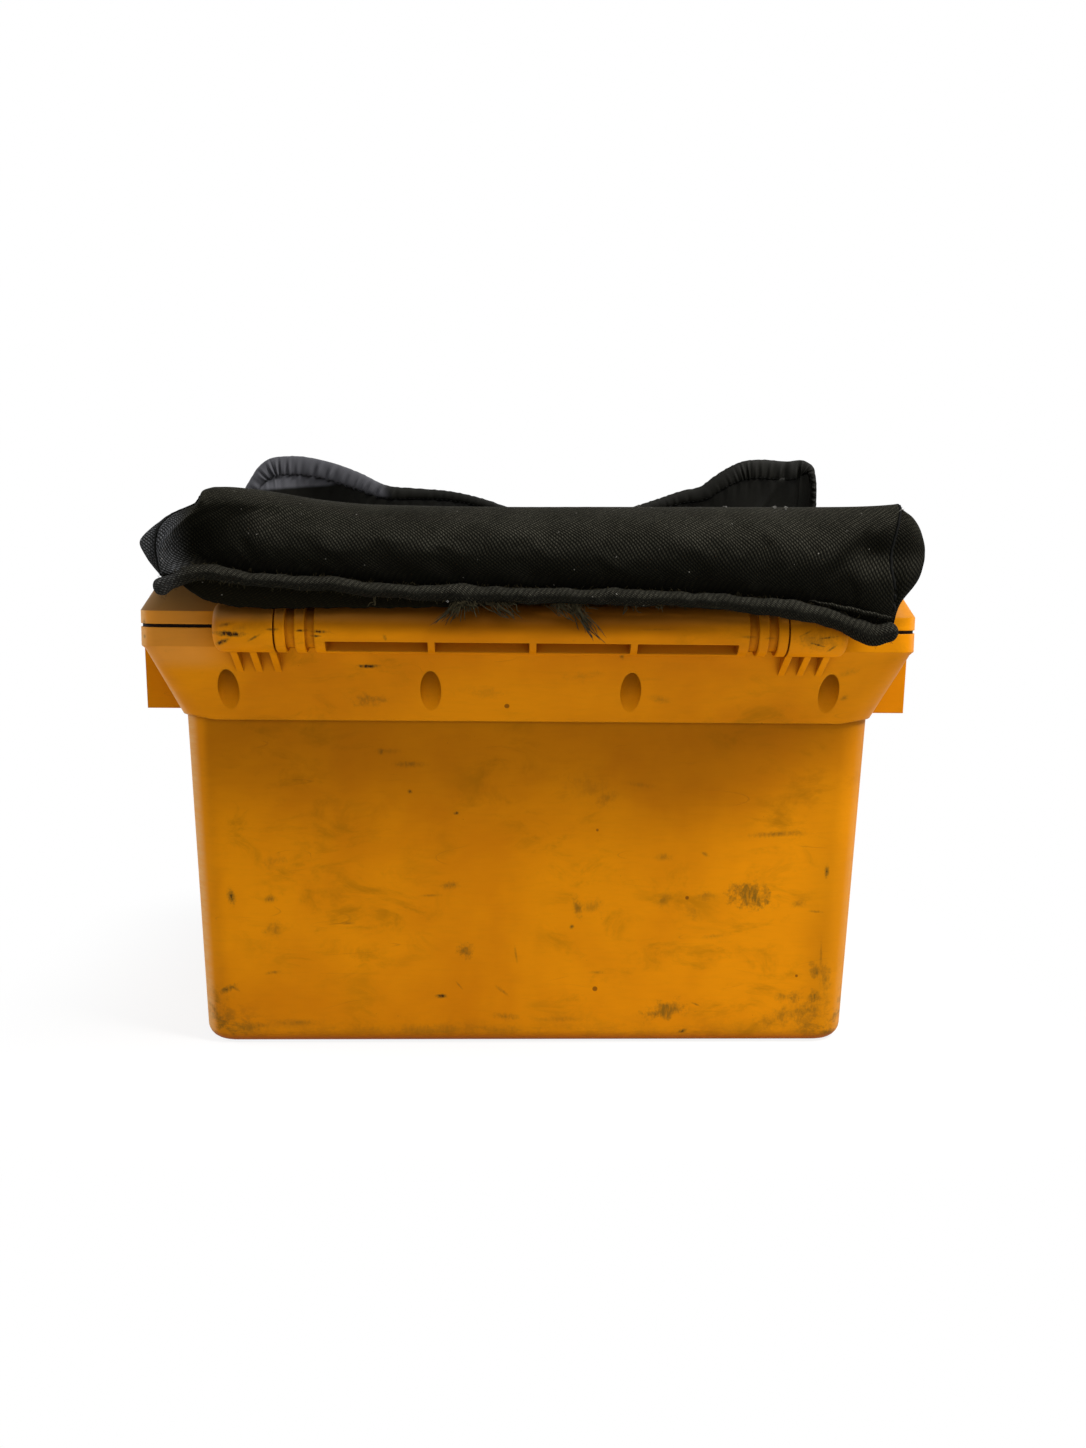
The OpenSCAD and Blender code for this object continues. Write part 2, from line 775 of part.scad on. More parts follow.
// One standing stretch of the hem: places along the width and heights, as shares
module hem(y, points) {
    low_z = lid_top + pad_h / 2;
    last = len(points) - 1;
    translate([0, y, 0]) along_y(hem_t) polygon(concat(
        [[points[0][0] * pad_w, low_z]],
        [for (p = points) [p[0] * pad_w, lid_top + p[1] * hem_h]],
        [[points[last][0] * pad_w, low_z]]
    ));
}

tub();
rim_frame();
grip_left();
grip_right();
rim_screws();
grip_screws();
hinge_pin_left();
hinge_pin_right();
latch_pin_left();
latch_pin_right();
divider_long_1();
divider_long_2();
divider_cross_1();
divider_cross_2();
divider_cross_3();
lid_shell();
lid_liner();
lid_gasket();
latch_left();
latch_right();
seat_pad();
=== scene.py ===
import bpy
import math
import numpy as np
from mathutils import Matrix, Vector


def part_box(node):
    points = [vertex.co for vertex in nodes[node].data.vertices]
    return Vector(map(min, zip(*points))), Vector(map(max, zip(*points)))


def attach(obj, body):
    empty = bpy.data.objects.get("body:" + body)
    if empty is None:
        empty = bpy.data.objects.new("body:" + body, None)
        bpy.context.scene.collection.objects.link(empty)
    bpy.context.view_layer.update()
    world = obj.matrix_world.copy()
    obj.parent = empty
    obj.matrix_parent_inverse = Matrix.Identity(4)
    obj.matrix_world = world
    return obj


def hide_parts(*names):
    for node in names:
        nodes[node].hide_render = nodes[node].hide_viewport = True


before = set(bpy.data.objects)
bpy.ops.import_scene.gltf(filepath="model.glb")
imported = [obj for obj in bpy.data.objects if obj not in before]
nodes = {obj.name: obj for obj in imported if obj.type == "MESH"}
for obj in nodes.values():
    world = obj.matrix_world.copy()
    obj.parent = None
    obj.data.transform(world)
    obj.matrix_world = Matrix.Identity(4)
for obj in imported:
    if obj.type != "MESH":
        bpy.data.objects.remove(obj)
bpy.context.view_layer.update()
print("frame loaded:", len(nodes), "nodes")


# Small helpers for node trees

def link(tree, value, socket):  # a socket is wired, anything else is a fixed value
    if isinstance(value, bpy.types.NodeSocket):
        tree.links.new(value, socket)
    else:
        socket.default_value = value


def put(tree, kind, inputs=None, **settings):
    made = tree.nodes.new(kind)
    for name, value in settings.items():
        setattr(made, name, value)
    for name, value in (inputs or {}).items():
        link(tree, value, made.inputs[name])
    return made


def calc(tree, operation, a, b=0.0, c=0.0):
    return put(tree, "ShaderNodeMath", {0: a, 1: b, 2: c}, operation=operation).outputs[0]


def ramp(tree, value, low, high, toLow=0.0, toHigh=1.0):  # smooth step from low to high
    if low > high:
        low, high, toLow, toHigh = high, low, toHigh, toLow
    made = put(tree, "ShaderNodeMapRange", {"Value": value, 1: low, 2: high, 3: toLow, 4: toHigh},
               interpolation_type="SMOOTHSTEP")
    return made.outputs[0]


def times(tree, a, b):
    return calc(tree, "MULTIPLY", a, b)


def timesPlus(tree, a, b, c):
    return calc(tree, "MULTIPLY_ADD", a, b, c)


def larger(tree, a, b=0.0):
    return calc(tree, "MAXIMUM", a, b)


def axes(tree, vector):
    return put(tree, "ShaderNodeSeparateXYZ", {0: vector}).outputs


def objectPlace(tree):
    return put(tree, "ShaderNodeTexCoord").outputs["Object"]


def objectFacing(tree):  # in the piece's own axes, so a piece that turns keeps its dust where it was
    return axes(tree, put(tree, "ShaderNodeTexCoord").outputs["Normal"])


def tint(tree, factor, first, second):
    return put(tree, "ShaderNodeMix", {0: factor, 6: first, 7: second}, data_type="RGBA").outputs[2]


def noise(tree, vector, scale, detail=2.0, rough=0.5, warp=0.0):
    made = put(tree, "ShaderNodeTexNoise",
               {"Vector": vector, "Scale": scale, "Detail": detail, "Roughness": rough, "Distortion": warp})
    return made.outputs["Fac"]


def stretched(tree, vector, scale, turn=(0.0, 0.0, 0.0)):
    return put(tree, "ShaderNodeMapping", {"Vector": vector, "Rotation": turn, "Scale": scale}).outputs[0]


def newGroup(name, takes, gives):  # shader group with named sockets, and its two end nodes
    group = bpy.data.node_groups.new(name, "ShaderNodeTree")
    kinds = {"v": "NodeSocketVector", "f": "NodeSocketFloat", "c": "NodeSocketColor"}
    for socket, kind in takes:
        group.interface.new_socket(socket, in_out="INPUT", socket_type=kinds[kind])
    for socket, kind in gives:
        group.interface.new_socket(socket, in_out="OUTPUT", socket_type=kinds[kind])
    start, end = group.nodes.new("NodeGroupInput"), group.nodes.new("NodeGroupOutput")
    return group, start.outputs, end.inputs


def useGroup(tree, group, inputs):
    made = put(tree, "ShaderNodeGroup", node_tree=group)
    for name, value in inputs.items():
        link(tree, value, made.inputs[name])
    return made.outputs


def newMaterial(name):
    material = bpy.data.materials.new(name)
    material.use_nodes = True
    return material, material.node_tree, material.node_tree.nodes["Principled BSDF"]


def addBump(tree, shader, strength, distance, height, normal=None):
    inputs = {"Strength": strength, "Distance": distance, "Height": height}
    if normal is not None:
        inputs["Normal"] = normal
    link(tree, put(tree, "ShaderNodeBump", inputs).outputs[0], shader.inputs["Normal"])


def finishShader(tree, shader, colour, rough, shine=None):
    link(tree, colour, shader.inputs["Base Color"])
    link(tree, rough, shader.inputs["Roughness"])
    if shine is not None:
        shader.inputs["Specular IOR Level"].default_value = shine


# Shared surface effects

def makeWear():
    # Marks of use on moulded plastic from noise at several sizes: mottling, olive film, scratches,
    # specks, streaks
    masks = [(name, "f") for name in ("Mottle", "Film", "Scratches", "Specks", "Streak")]
    group, take, give = newGroup("handlingWear", [("Vector", "v"), ("Scale", "f")], masks)
    place = put(group, "ShaderNodeVectorMath", {0: take["Vector"], "Scale": take["Scale"]},
                operation="SCALE").outputs[0]
    link(group, noise(group, place, 9.0, 4.0, 0.6, 0.3), give["Mottle"])
    wide = stretched(group, place, (0.7, 0.7, 1.3), (0.0, 0.15, 0.0))
    blotch = noise(group, wide, 38.0, 6.0, 0.7, 0.6)
    region = ramp(group, noise(group, place, 11.0, 2.0), 0.45, 0.62)
    link(group, times(group, ramp(group, blotch, 0.47, 0.72), region), give["Film"])
    lines = None
    for turn, scale in ((0.25, 30.0), (1.3, 24.0), (-0.55, 37.0)):  # thin contour lines of a stretched noise
        path = stretched(group, place, (0.25, 0.25, 1.7), (turn * 0.4, turn, 0.0))
        height = noise(group, path, scale, 1.0, 0.5, 0.35)
        off = calc(group, "ABSOLUTE", calc(group, "SUBTRACT", height, 0.5))
        thin = ramp(group, off, 0.0, 0.0035, 1.0, 0.0)
        gate = ramp(group, noise(group, place, scale * 1.1, 1.0), 0.63, 0.7)
        thin = times(group, thin, gate)
        lines = thin if lines is None else larger(group, lines, thin)
    link(group, lines, give["Scratches"])
    cells = put(group, "ShaderNodeTexVoronoi", {"Vector": place, "Scale": 70.0, "Randomness": 1.0})
    chosen = put(group, "ShaderNodeSeparateColor", {0: cells.outputs["Color"]})
    size = times(group, ramp(group, chosen.outputs[0], 0.9, 1.0), 0.1)
    link(group, ramp(group, calc(group, "SUBTRACT", cells.outputs["Distance"], size), 0.0, 0.03, 1.0, 0.0),
         give["Specks"])
    link(group, noise(group, stretched(group, place, (1.0, 1.0, 7.0)), 60.0, 4.0, 0.7), give["Streak"])
    return group


def makeRub():
    # One mark: a turned ellipse across and up, with a rim broken up by noise, kept where it is the
    # strongest. It has no depth of its own and runs right through along Y
    takes = [(name, "v") for name in ("Vector", "Place", "Size", "Turn")]
    takes += [(name, "f") for name in ("Rim", "Inner", "Strength", "Before")]
    group, take, give = newGroup("rubMark", takes, [("Mask", "f")])
    local = put(group, "ShaderNodeMapping", {
        "Vector": take["Vector"], "Location": take["Place"], "Rotation": take["Turn"],
        "Scale": take["Size"]}, vector_type="TEXTURE")
    reach = put(group, "ShaderNodeVectorMath", {0: local.outputs[0]}, operation="LENGTH").outputs["Value"]
    ragged = timesPlus(group, calc(group, "SUBTRACT", take["Rim"], 0.5), 3.2, reach)
    mask = put(group, "ShaderNodeMapRange", {"Value": ragged, 1: take["Inner"], 2: 1.15, 3: 1.0, 4: 0.0},
               interpolation_type="SMOOTHSTEP").outputs[0]
    link(group, larger(group, take["Before"], times(group, mask, take["Strength"])), give["Mask"])
    return group


def makeEdges():
    # Outer edges, where the rounded normal leaves the true one, and hollows, from how much is covered
    # nearby; the same over a wider reach masks the painted shade under an overhang
    group, take, give = newGroup("edgesAndHollows", [("Radius", "f"), ("Reach", "f"), ("Wide", "f")],
                                 [("Edge", "f"), ("Hollow", "f"), ("OverhangShade", "f"), ("Normal", "v")])
    rounded = put(group, "ShaderNodeBevel", {"Radius": take["Radius"]}, samples=4)
    flat = put(group, "ShaderNodeNewGeometry")
    facing = put(group, "ShaderNodeVectorMath", {0: rounded.outputs[0], 1: flat.outputs["Normal"]},
                 operation="DOT_PRODUCT")
    turned = calc(group, "SUBTRACT", 1.0, facing.outputs["Value"])
    link(group, ramp(group, turned, 0.03, 0.25), give["Edge"])
    cover = put(group, "ShaderNodeAmbientOcclusion", {"Distance": take["Reach"]}, samples=6)
    link(group, ramp(group, cover.outputs["AO"], 0.85, 0.3), give["Hollow"])
    broad = put(group, "ShaderNodeAmbientOcclusion", {"Distance": take["Wide"]}, samples=6)
    link(group, ramp(group, broad.outputs["AO"], 0.95, 0.3), give["OverhangShade"])
    link(group, rounded.outputs[0], give["Normal"])
    return group


wearGroup, rubGroup, edgeGroup = makeWear(), makeRub(), makeEdges()

# Orange moulded plastic

orange = {
    "bright": (0.66, 0.230, 0.0004, 1.0),
    "deep": (0.52, 0.166, 0.0002, 1.0),
    "film": (0.33, 0.13, 0.001, 1.0),
    "mark": (0.10, 0.062, 0.006, 1.0),
    "worn": (0.72, 0.29, 0.010, 1.0),
    # grime and painted shade in hollows
    "grimeAndShade": (0.34, 0.080, 0.0004, 1.0),
    # painted shade under overhangs
    "overhangShade": (0.16, 0.048, 0.0004, 1.0),
    "speck": (0.07, 0.018, 0.002, 1.0),
    "rough": 0.5, "grain": 1500.0,
    "soot": (0.010, 0.006, 0.002, 1.0),
    # painted pale sheen
    "paintedSheen": (0.66, 0.36, 0.13, 1.0),
    "dust": (0.17, 0.105, 0.045, 1.0),
}

# Rubs and dark marks on the hinge wall, in millimetres: place along X, height, half width, half height,
# turn, how solid the middle is, and strength. They go through the wall, so they are on its inner face and
# on the rim too
tubMarks = (
    (139, 97, 15, 9, -0.15, 0.55, 0.80), (88, 22, 16, 6.5, 0.1, 0.4, 0.76),
    (161, 17, 16, 7, 0.3, 0.0, 0.55), (39, 165, 18, 10, -0.1, 0.0, 0.3), (47, 160, 8, 5, 0.4, 0.1, 0.5),
    (68, 168, 12, 2.5, -0.1, 0.0, 0.38), (154, 137, 22, 2.2, 0.05, 0.1, 0.75),
    (84, 122, 7, 3, 0.0, 0.0, 0.6), (110, 124, 3, 1.4, -0.5, 0.3, 0.6),
    (187, 113, 1.8, 5, 0.0, 0.4, 0.95), (170, 92, 6, 2.8, 0.15, 0.1, 0.6),
    (181, 87, 6, 1.1, -0.1, 0.2, 0.6), (31, 90, 4.5, 7, 0.1, 0.1, 0.75), (40, 90, 10, 6, 0.2, 0.0, 0.4),
    (27.5, 77, 2, 1.8, 0.0, 0.5, 0.9), (85, 94, 6, 4.5, 0.6, 0.0, 0.5), (104, 86, 7, 4.5, -0.6, 0.0, 0.5),
    (112, 97, 6, 3.5, 0.0, 0.1, 0.55), (118, 71, 10, 2.2, 0.1, 0.0, 0.4),
    (183, 48, 4.5, 5.5, 0.2, 0.2, 0.8), (186, 56, 1.0, 14, 0.02, 0.2, 0.6),
    (183, 31, 6, 5.5, 0.3, 0.1, 0.85), (162, 31, 4.5, 5, 0.0, 0.0, 0.6),
    (99, 8, 3.6, 1.6, 0.4, 0.5, 0.95), (21, 16, 20, 2.4, 0.0, 0.0, 0.4), (44, 47, 6, 1.4, 0.0, 0.1, 0.5),
    (107, 26, 4.5, 0.9, -0.4, 0.4, 0.65), (-91, 188, 2.6, 2.4, 0.0, 0.4, 0.8),
    (-86, 188, 9, 2.2, 0.0, 0.0, 0.5), (-74, 180, 13, 2.4, 0.0, 0.1, 0.7),
    (-73.5, 163, 1.7, 1.5, 0.0, 0.6, 0.95), (-45, 149.5, 1.9, 1.3, 0.0, 0.6, 0.95),
    (-184, 96, 3, 6, 0.2, 0.3, 0.97), (-160, 94.5, 4.5, 3, 0.1, 0.2, 0.8),
    (-158, 74, 6.5, 5, 0.0, 0.0, 0.55), (-158, 118, 8, 6, 0.0, 0.0, 0.38),
    (-112, 79, 5, 1.2, 0.0, 0.2, 0.6), (-49, 103.5, 7, 3, 0.1, 0.1, 0.85),
    (-61, 97, 9, 1.1, 0.05, 0.1, 0.5), (-39, 61, 7, 4.5, 0.0, 0.3, 0.88),
    (-54, 31.5, 4.2, 1.7, 0.0, 0.6, 0.95), (-159, 47, 6, 1.5, 0.15, 0.2, 0.6),
    (-190, 36, 4, 1.3, 0.6, 0.4, 0.85), (-184, 37, 4.5, 1.3, -0.5, 0.4, 0.85),
    (-16, 35, 6, 1.3, -0.7, 0.2, 0.65), (-13, 18, 11, 3, -0.1, 0.0, 0.65),
    (-7.5, 59, 1.0, 7, 0.15, 0.3, 0.5), (-43, 38.5, 4, 0.8, -0.9, 0.4, 0.5),
    (-188, 36, 7, 2.6, 0.5, 0.3, 0.95), (-197, 20, 6, 9, 0.0, 0.0, 0.75),
    (-172, 11, 12, 5, 0.0, 0.0, 0.6), (176, 20, 15, 8, 0.3, 0.0, 0.75), (189, 42, 4.5, 12, 0.0, 0.0, 0.7),
    (170, 31, 8, 5, 0.4, 0.1, 0.7), (-145, 14, 18, 3, 0.0, 0.0, 0.6), (-60, 9, 70, 4, 0.0, 0.0, 0.35),
    (-196, 30, 4, 9, 0.0, 0.0, 0.5),
)
collarMarks = (
    (-97, 241.5, 8, 1.5, 0.0, 0.6, 1.0), (-171, 261.3, 10, 2.0, -0.03, 0.7, 1.0),
    (-173, 266.5, 5.5, 1.4, 0.2, 0.4, 0.92), (-176, 256.5, 5.5, 1.6, 0.4, 0.6, 1.0),
    (-147, 264, 4, 1.0, 0.0, 0.6, 1.0), (-131, 263.5, 4, 1.0, 0.0, 0.6, 1.0),
    (-182, 262.5, 3.5, 1.0, -0.6, 0.4, 0.9), (-158, 259, 5, 0.9, 0.5, 0.4, 0.85),
    (-165, 265, 7, 3.5, 0.3, 0.0, 0.5), (163, 258, 7, 1.0, -0.25, 0.5, 0.95),
    (168, 262, 9, 0.9, 0.15, 0.5, 0.9), (156, 264.5, 5, 0.9, 0.5, 0.4, 0.85),
    (164, 261, 15, 7, 0.0, 0.0, 0.62), (172, 256, 4, 1.0, 0.7, 0.4, 0.9),
    (-121, 263, 6, 1.2, 0.0, 0.5, 1.0), (-123, 260.5, 4, 0.9, 0.0, 0.5, 0.95),
    (-84, 260, 1.2, 2.2, 0.4, 0.4, 0.7), (124, 262, 6, 1.0, 0.0, 0.2, 0.75),
    (136, 261.5, 4, 0.9, 0.0, 0.3, 0.7), (160, 262, 12, 1.6, 0.05, 0.0, 0.75),
    (70, 266, 18, 0.8, 0.02, 0.1, 0.5), (-8, 270, 14, 0.9, 0.0, 0.1, 0.5),
    (53, 249, 1.6, 2.4, 0.5, 0.4, 0.8), (190, 224, 3.5, 2.2, 0.4, 0.1, 0.7),
    (-98, 220, 12, 4, 0.0, 0.1, 0.62), (78, 222, 9, 3, -0.2, 0.0, 0.45),
    (-226, 266, 1.4, 2.4, 0.0, 0.4, 0.8), (-226, 258, 1.2, 1.4, 0.0, 0.5, 0.85),
    (190, 240, 8, 3, 0.3, 0.0, 0.4), (-180, 236, 7, 3, -0.4, 0.0, 0.35), (30, 236, 14, 4, 0.1, 0.0, 0.3),
    (-30, 226, 16, 4, 0.0, 0.0, 0.25),
)


def footDirt(tree, place, height):
    # Dark smears low on the wall, heaviest at both sides of the hinge wall and faint on the others
    aside = ramp(tree, calc(tree, "ABSOLUTE", height[0]), 0.150, 0.205, 0.35, 1.0)
    smears = noise(tree, stretched(tree, place, (1.0, 1.0, 1.6)), 95.0, 5.0, 0.72)
    kicked = times(tree, aside, ramp(tree, timesPlus(tree, aside, -0.03, height[2]), 0.018, -0.022))
    kicked = times(tree, kicked, ramp(tree, smears, 0.44, 0.62))
    return times(tree, kicked, ramp(tree, height[1], -0.07, -0.12, 0.2, 1.0))


def sideSheen(tree, height, facing, streak):
    # Painted pale sheen on faces turned to the left, less to the right, kept out of the wells and the hinge
    sheenShare = larger(tree, ramp(tree, facing[0], -0.5, -0.8), ramp(tree, facing[0], 0.5, 0.8, 0.0, 0.25))
    sheenShare = times(tree, sheenShare, ramp(tree, facing[1], -0.05, -0.4, 0.2, 1.0))
    across = calc(tree, "ABSOLUTE", height[0])
    outer = larger(tree, ramp(tree, height[2], 0.207, 0.2), ramp(tree, across, 0.187, 0.194))
    return times(tree, times(tree, sheenShare, outer), ramp(tree, streak, 0.2, 0.7, 0.4, 0.85))


def layMarks(tree, colour, place, height, marks):
    # Kept to the hinge side by their place along Y alone, so both faces of that wall carry them
    perMetre, fineBelow = 1000, 3.1
    broadRim = noise(tree, place, 170.0, 4.0, 0.72)
    fineRim = timesPlus(tree, noise(tree, place, 600.0, 3.0, 0.7), 0.4, 0.3)
    dark = 0.0
    for x, z, wide, high, turn, inner, strength in marks:
        dark = useGroup(tree, rubGroup, {
            "Vector": place, "Place": (x / perMetre, 0.0, z / perMetre),
            "Size": (wide / perMetre, 1000.0, high / perMetre),
            "Turn": (0.0, -turn, 0.0), "Rim": fineRim if min(wide, high) < fineBelow else broadRim,
            "Inner": inner - 0.35, "Strength": strength, "Before": dark})["Mask"]
    dark = times(tree, dark, ramp(tree, height[1], -0.09, -0.1))
    hatch = noise(tree, stretched(tree, place, (1.0, 1.0, 0.25), (0.0, 0.6, 0.0)), 620.0, 3.0, 0.7)
    sooty = tint(tree, ramp(tree, dark, 0.84, 0.97), orange["mark"], orange["soot"])
    return tint(tree, times(tree, dark, ramp(tree, hatch, 0.36, 0.56, 0.5, 1.0)), colour, sooty)


def layCrown(tree, colour, height, facing, mottle, crown):
    # Painted shade of the pad along the barrel's top, with grease; painted pale sheen on the left bands;
    # dust settled on what faces up
    greaseAndPadShade = times(tree, ramp(tree, height[2], 0.2595, 0.268), ramp(tree, height[1], -0.170, -0.178))
    greaseAndPadShade = times(tree, greaseAndPadShade, ramp(tree, mottle, 0.2, 0.7, 1.0, 0.7))
    greaseAndPadShade = times(tree, greaseAndPadShade, ramp(tree, height[0], 0.06, 0.13, 1.0, 0.45))
    colour = tint(tree, times(tree, greaseAndPadShade, crown), colour, orange["overhangShade"])
    bandSheen = times(tree, ramp(tree, height[0], -0.17, -0.2, 0.0, 0.2), ramp(tree, height[2], 0.236, 0.246))
    colour = tint(tree, bandSheen, colour, orange["paintedSheen"])
    corner = times(tree, ramp(tree, height[0], -0.15, -0.2), ramp(tree, height[1], -0.02, -0.12))
    thick = timesPlus(tree, corner, 0.55, ramp(tree, mottle, 0.3, 0.7, 0.15, 0.32))
    return tint(tree, times(tree, ramp(tree, facing[2], 0.15, 0.6), thick), colour, orange["dust"])


def flareShade(tree, height, overhangShade, share):
    # Painted shade below the flare, by height, nearly all round, on top of what the light gives, and
    # painted shade higher up where a wide reach is covered
    shaded = times(tree, ramp(tree, height[2], 0.11, 0.2), ramp(tree, height[2], 0.211, 0.208, 0.0, share))
    shaded = larger(tree, shaded, times(tree, overhangShade, ramp(tree, height[2], 0.06, 0.12)))
    return times(tree, shaded, ramp(tree, height[0], -0.2005, -0.1945, 0.1, 0.5))


def makeOrange(name, marks, hollowReach, overhangShadeReach, overhangShade, crown=0.0):
    material, tree, shader = newMaterial(name)
    place = objectPlace(tree)
    height = axes(tree, place)
    facing = objectFacing(tree)
    wear = useGroup(tree, wearGroup, {"Vector": place, "Scale": 1.0})
    edges = useGroup(tree, edgeGroup, {"Radius": 0.0011, "Reach": hollowReach, "Wide": overhangShadeReach})
    colour = tint(tree, ramp(tree, wear["Mottle"], 0.3, 0.7), orange["deep"], orange["bright"])
    low = ramp(tree, timesPlus(tree, wear["Streak"], 0.03, height[2]), 0.032, 0.012)
    handled = times(tree, ramp(tree, height[0], 0.165, 0.192), ramp(tree, height[2], 0.17, 0.10))
    layers = ((ramp(tree, wear["Streak"], 0.4, 0.8), 0.14, "film"), (wear["Film"], 0.72, "film"),
              (low, 0.5, "film"), (handled, 0.32, "film"), (footDirt(tree, place, height), 0.8, "mark"),
              (wear["Scratches"], 0.22, "mark"), (wear["Specks"], 0.7, "speck"))
    for mask, strength, paint in layers:
        colour = tint(tree, times(tree, mask, strength), colour, orange[paint])
    # Painted pale sheen on faces turned to the sides
    colour = tint(tree, sideSheen(tree, height, facing, wear["Streak"]), colour, orange["paintedSheen"])
    if marks:
        colour = layMarks(tree, colour, place, height, marks)
    if crown:
        colour = layCrown(tree, colour, height, facing, wear["Mottle"], crown)
    # Painted shade below the flare and under overhangs
    colour = tint(tree, flareShade(tree, height, edges["OverhangShade"], overhangShade), colour, orange["overhangShade"])
    # Grime and painted shade in hollows, from how much is covered nearby
    colour = tint(tree, times(tree, edges["Hollow"], 0.9), colour, orange["grimeAndShade"])
    colour = tint(tree, times(tree, edges["Edge"], 0.55), colour, orange["worn"])
    rough = timesPlus(tree, wear["Mottle"], 0.2, orange["rough"] - 0.1)
    grain = times(tree, noise(tree, place, orange["grain"], 2.0), 0.12)
    uneven = timesPlus(tree, noise(tree, place, 60.0, 3.0), 1.2, grain)
    relief = timesPlus(tree, wear["Scratches"], -0.5, uneven)
    addBump(tree, shader, 0.4, 0.0004, relief, edges["Normal"])
    finishShader(tree, shader, colour, timesPlus(tree, wear["Film"], 0.2, rough), 0.04)
    return material


# Other finishes

def makeSteel():
    material, tree, shader = newMaterial("dullZincSteel")
    place = objectPlace(tree)
    cloud = noise(tree, place, 160.0, 4.0, 0.6)
    edges = useGroup(tree, edgeGroup, {"Radius": 0.0004, "Reach": 0.003, "Wide": 0.003})
    colour = tint(tree, ramp(tree, cloud, 0.35, 0.7), (0.30, 0.30, 0.31, 1.0), (0.52, 0.52, 0.53, 1.0))
    colour = tint(tree, times(tree, edges["Hollow"], 0.6), colour, (0.07, 0.05, 0.03, 1.0))
    fine = noise(tree, stretched(tree, place, (60.0, 900.0, 900.0)), 3.0, 3.0)
    addBump(tree, shader, 0.3, 0.0001, fine, edges["Normal"])
    finishShader(tree, shader, colour, timesPlus(tree, cloud, 0.3, 0.28))
    shader.inputs["Metallic"].default_value = 1.0
    return material


def makeRubber():
    material, tree, shader = newMaterial("sealRubber")
    place = objectPlace(tree)
    dust = ramp(tree, noise(tree, place, 70.0, 5.0, 0.7), 0.5, 0.75)
    colour = tint(tree, times(tree, dust, 0.4), (0.008, 0.004, 0.002, 1.0), (0.03, 0.016, 0.006, 1.0))
    addBump(tree, shader, 0.3, 0.0003, noise(tree, place, 900.0))
    finishShader(tree, shader, colour, timesPlus(tree, dust, 0.2, 0.62), 0.05)
    return material


def makeSlatPlastic():
    # Extruded twin-wall sheet: fine upright ribs, cloudy grey, dirt towards the floor of the crate
    material, tree, shader = newMaterial("dividerSheet")
    place = objectPlace(tree)
    wear = useGroup(tree, wearGroup, {"Vector": place, "Scale": 1.3})
    split = axes(tree, place)
    run = calc(tree, "ADD", split[0], split[1])
    rib = calc(tree, "ABSOLUTE", calc(tree, "SINE", times(tree, run, math.pi / 0.004)))
    cloudy = ramp(tree, wear["Mottle"], 0.3, 0.7)
    colour = tint(tree, cloudy, (0.20, 0.21, 0.22, 1.0), (0.27, 0.28, 0.30, 1.0))
    colour = tint(tree, times(tree, wear["Film"], 0.4), colour, (0.10, 0.09, 0.07, 1.0))
    colour = tint(tree, ramp(tree, split[2], 0.06, 0.0, 0.0, 0.5), colour, (0.11, 0.09, 0.06, 1.0))
    colour = tint(tree, times(tree, wear["Scratches"], 0.5), colour, (0.4, 0.4, 0.4, 1.0))
    addBump(tree, shader, 0.5, 0.0003, rib)
    finishShader(tree, shader, colour, timesPlus(tree, wear["Mottle"], 0.2, 0.38))
    return material


def makeWeave():
    # Twill from flat cloth places in metres: diagonal ribs, cut across into short threads
    takes, gives = [("Cloth", "v"), ("Pitch", "f")], [("Rib", "f"), ("Thread", "f")]
    group, take, give = newGroup("twillWeave", takes, gives)
    wander = noise(group, take["Cloth"], 60.0, 2.0)
    split = axes(group, take["Cloth"])
    sway = times(group, wander, 0.0035)
    along = calc(group, "ADD", calc(group, "ADD", times(group, split[0], 0.8), split[1]), sway)
    across = calc(group, "SUBTRACT", split[0], times(group, split[1], 0.35))
    row = calc(group, "DIVIDE", along, take["Pitch"])
    rib = calc(group, "ABSOLUTE", calc(group, "SINE", times(group, row, math.pi)))
    offset = times(group, calc(group, "FLOOR", row), 1.9)
    step = timesPlus(group, calc(group, "DIVIDE", across, take["Pitch"]), 2.6, offset)
    cut = calc(group, "ABSOLUTE", calc(group, "SINE", step))
    link(group, rib, give["Rib"])
    link(group, times(group, rib, timesPlus(group, cut, 0.6, 0.4)), give["Thread"])
    return group


weaveGroup = makeWeave()


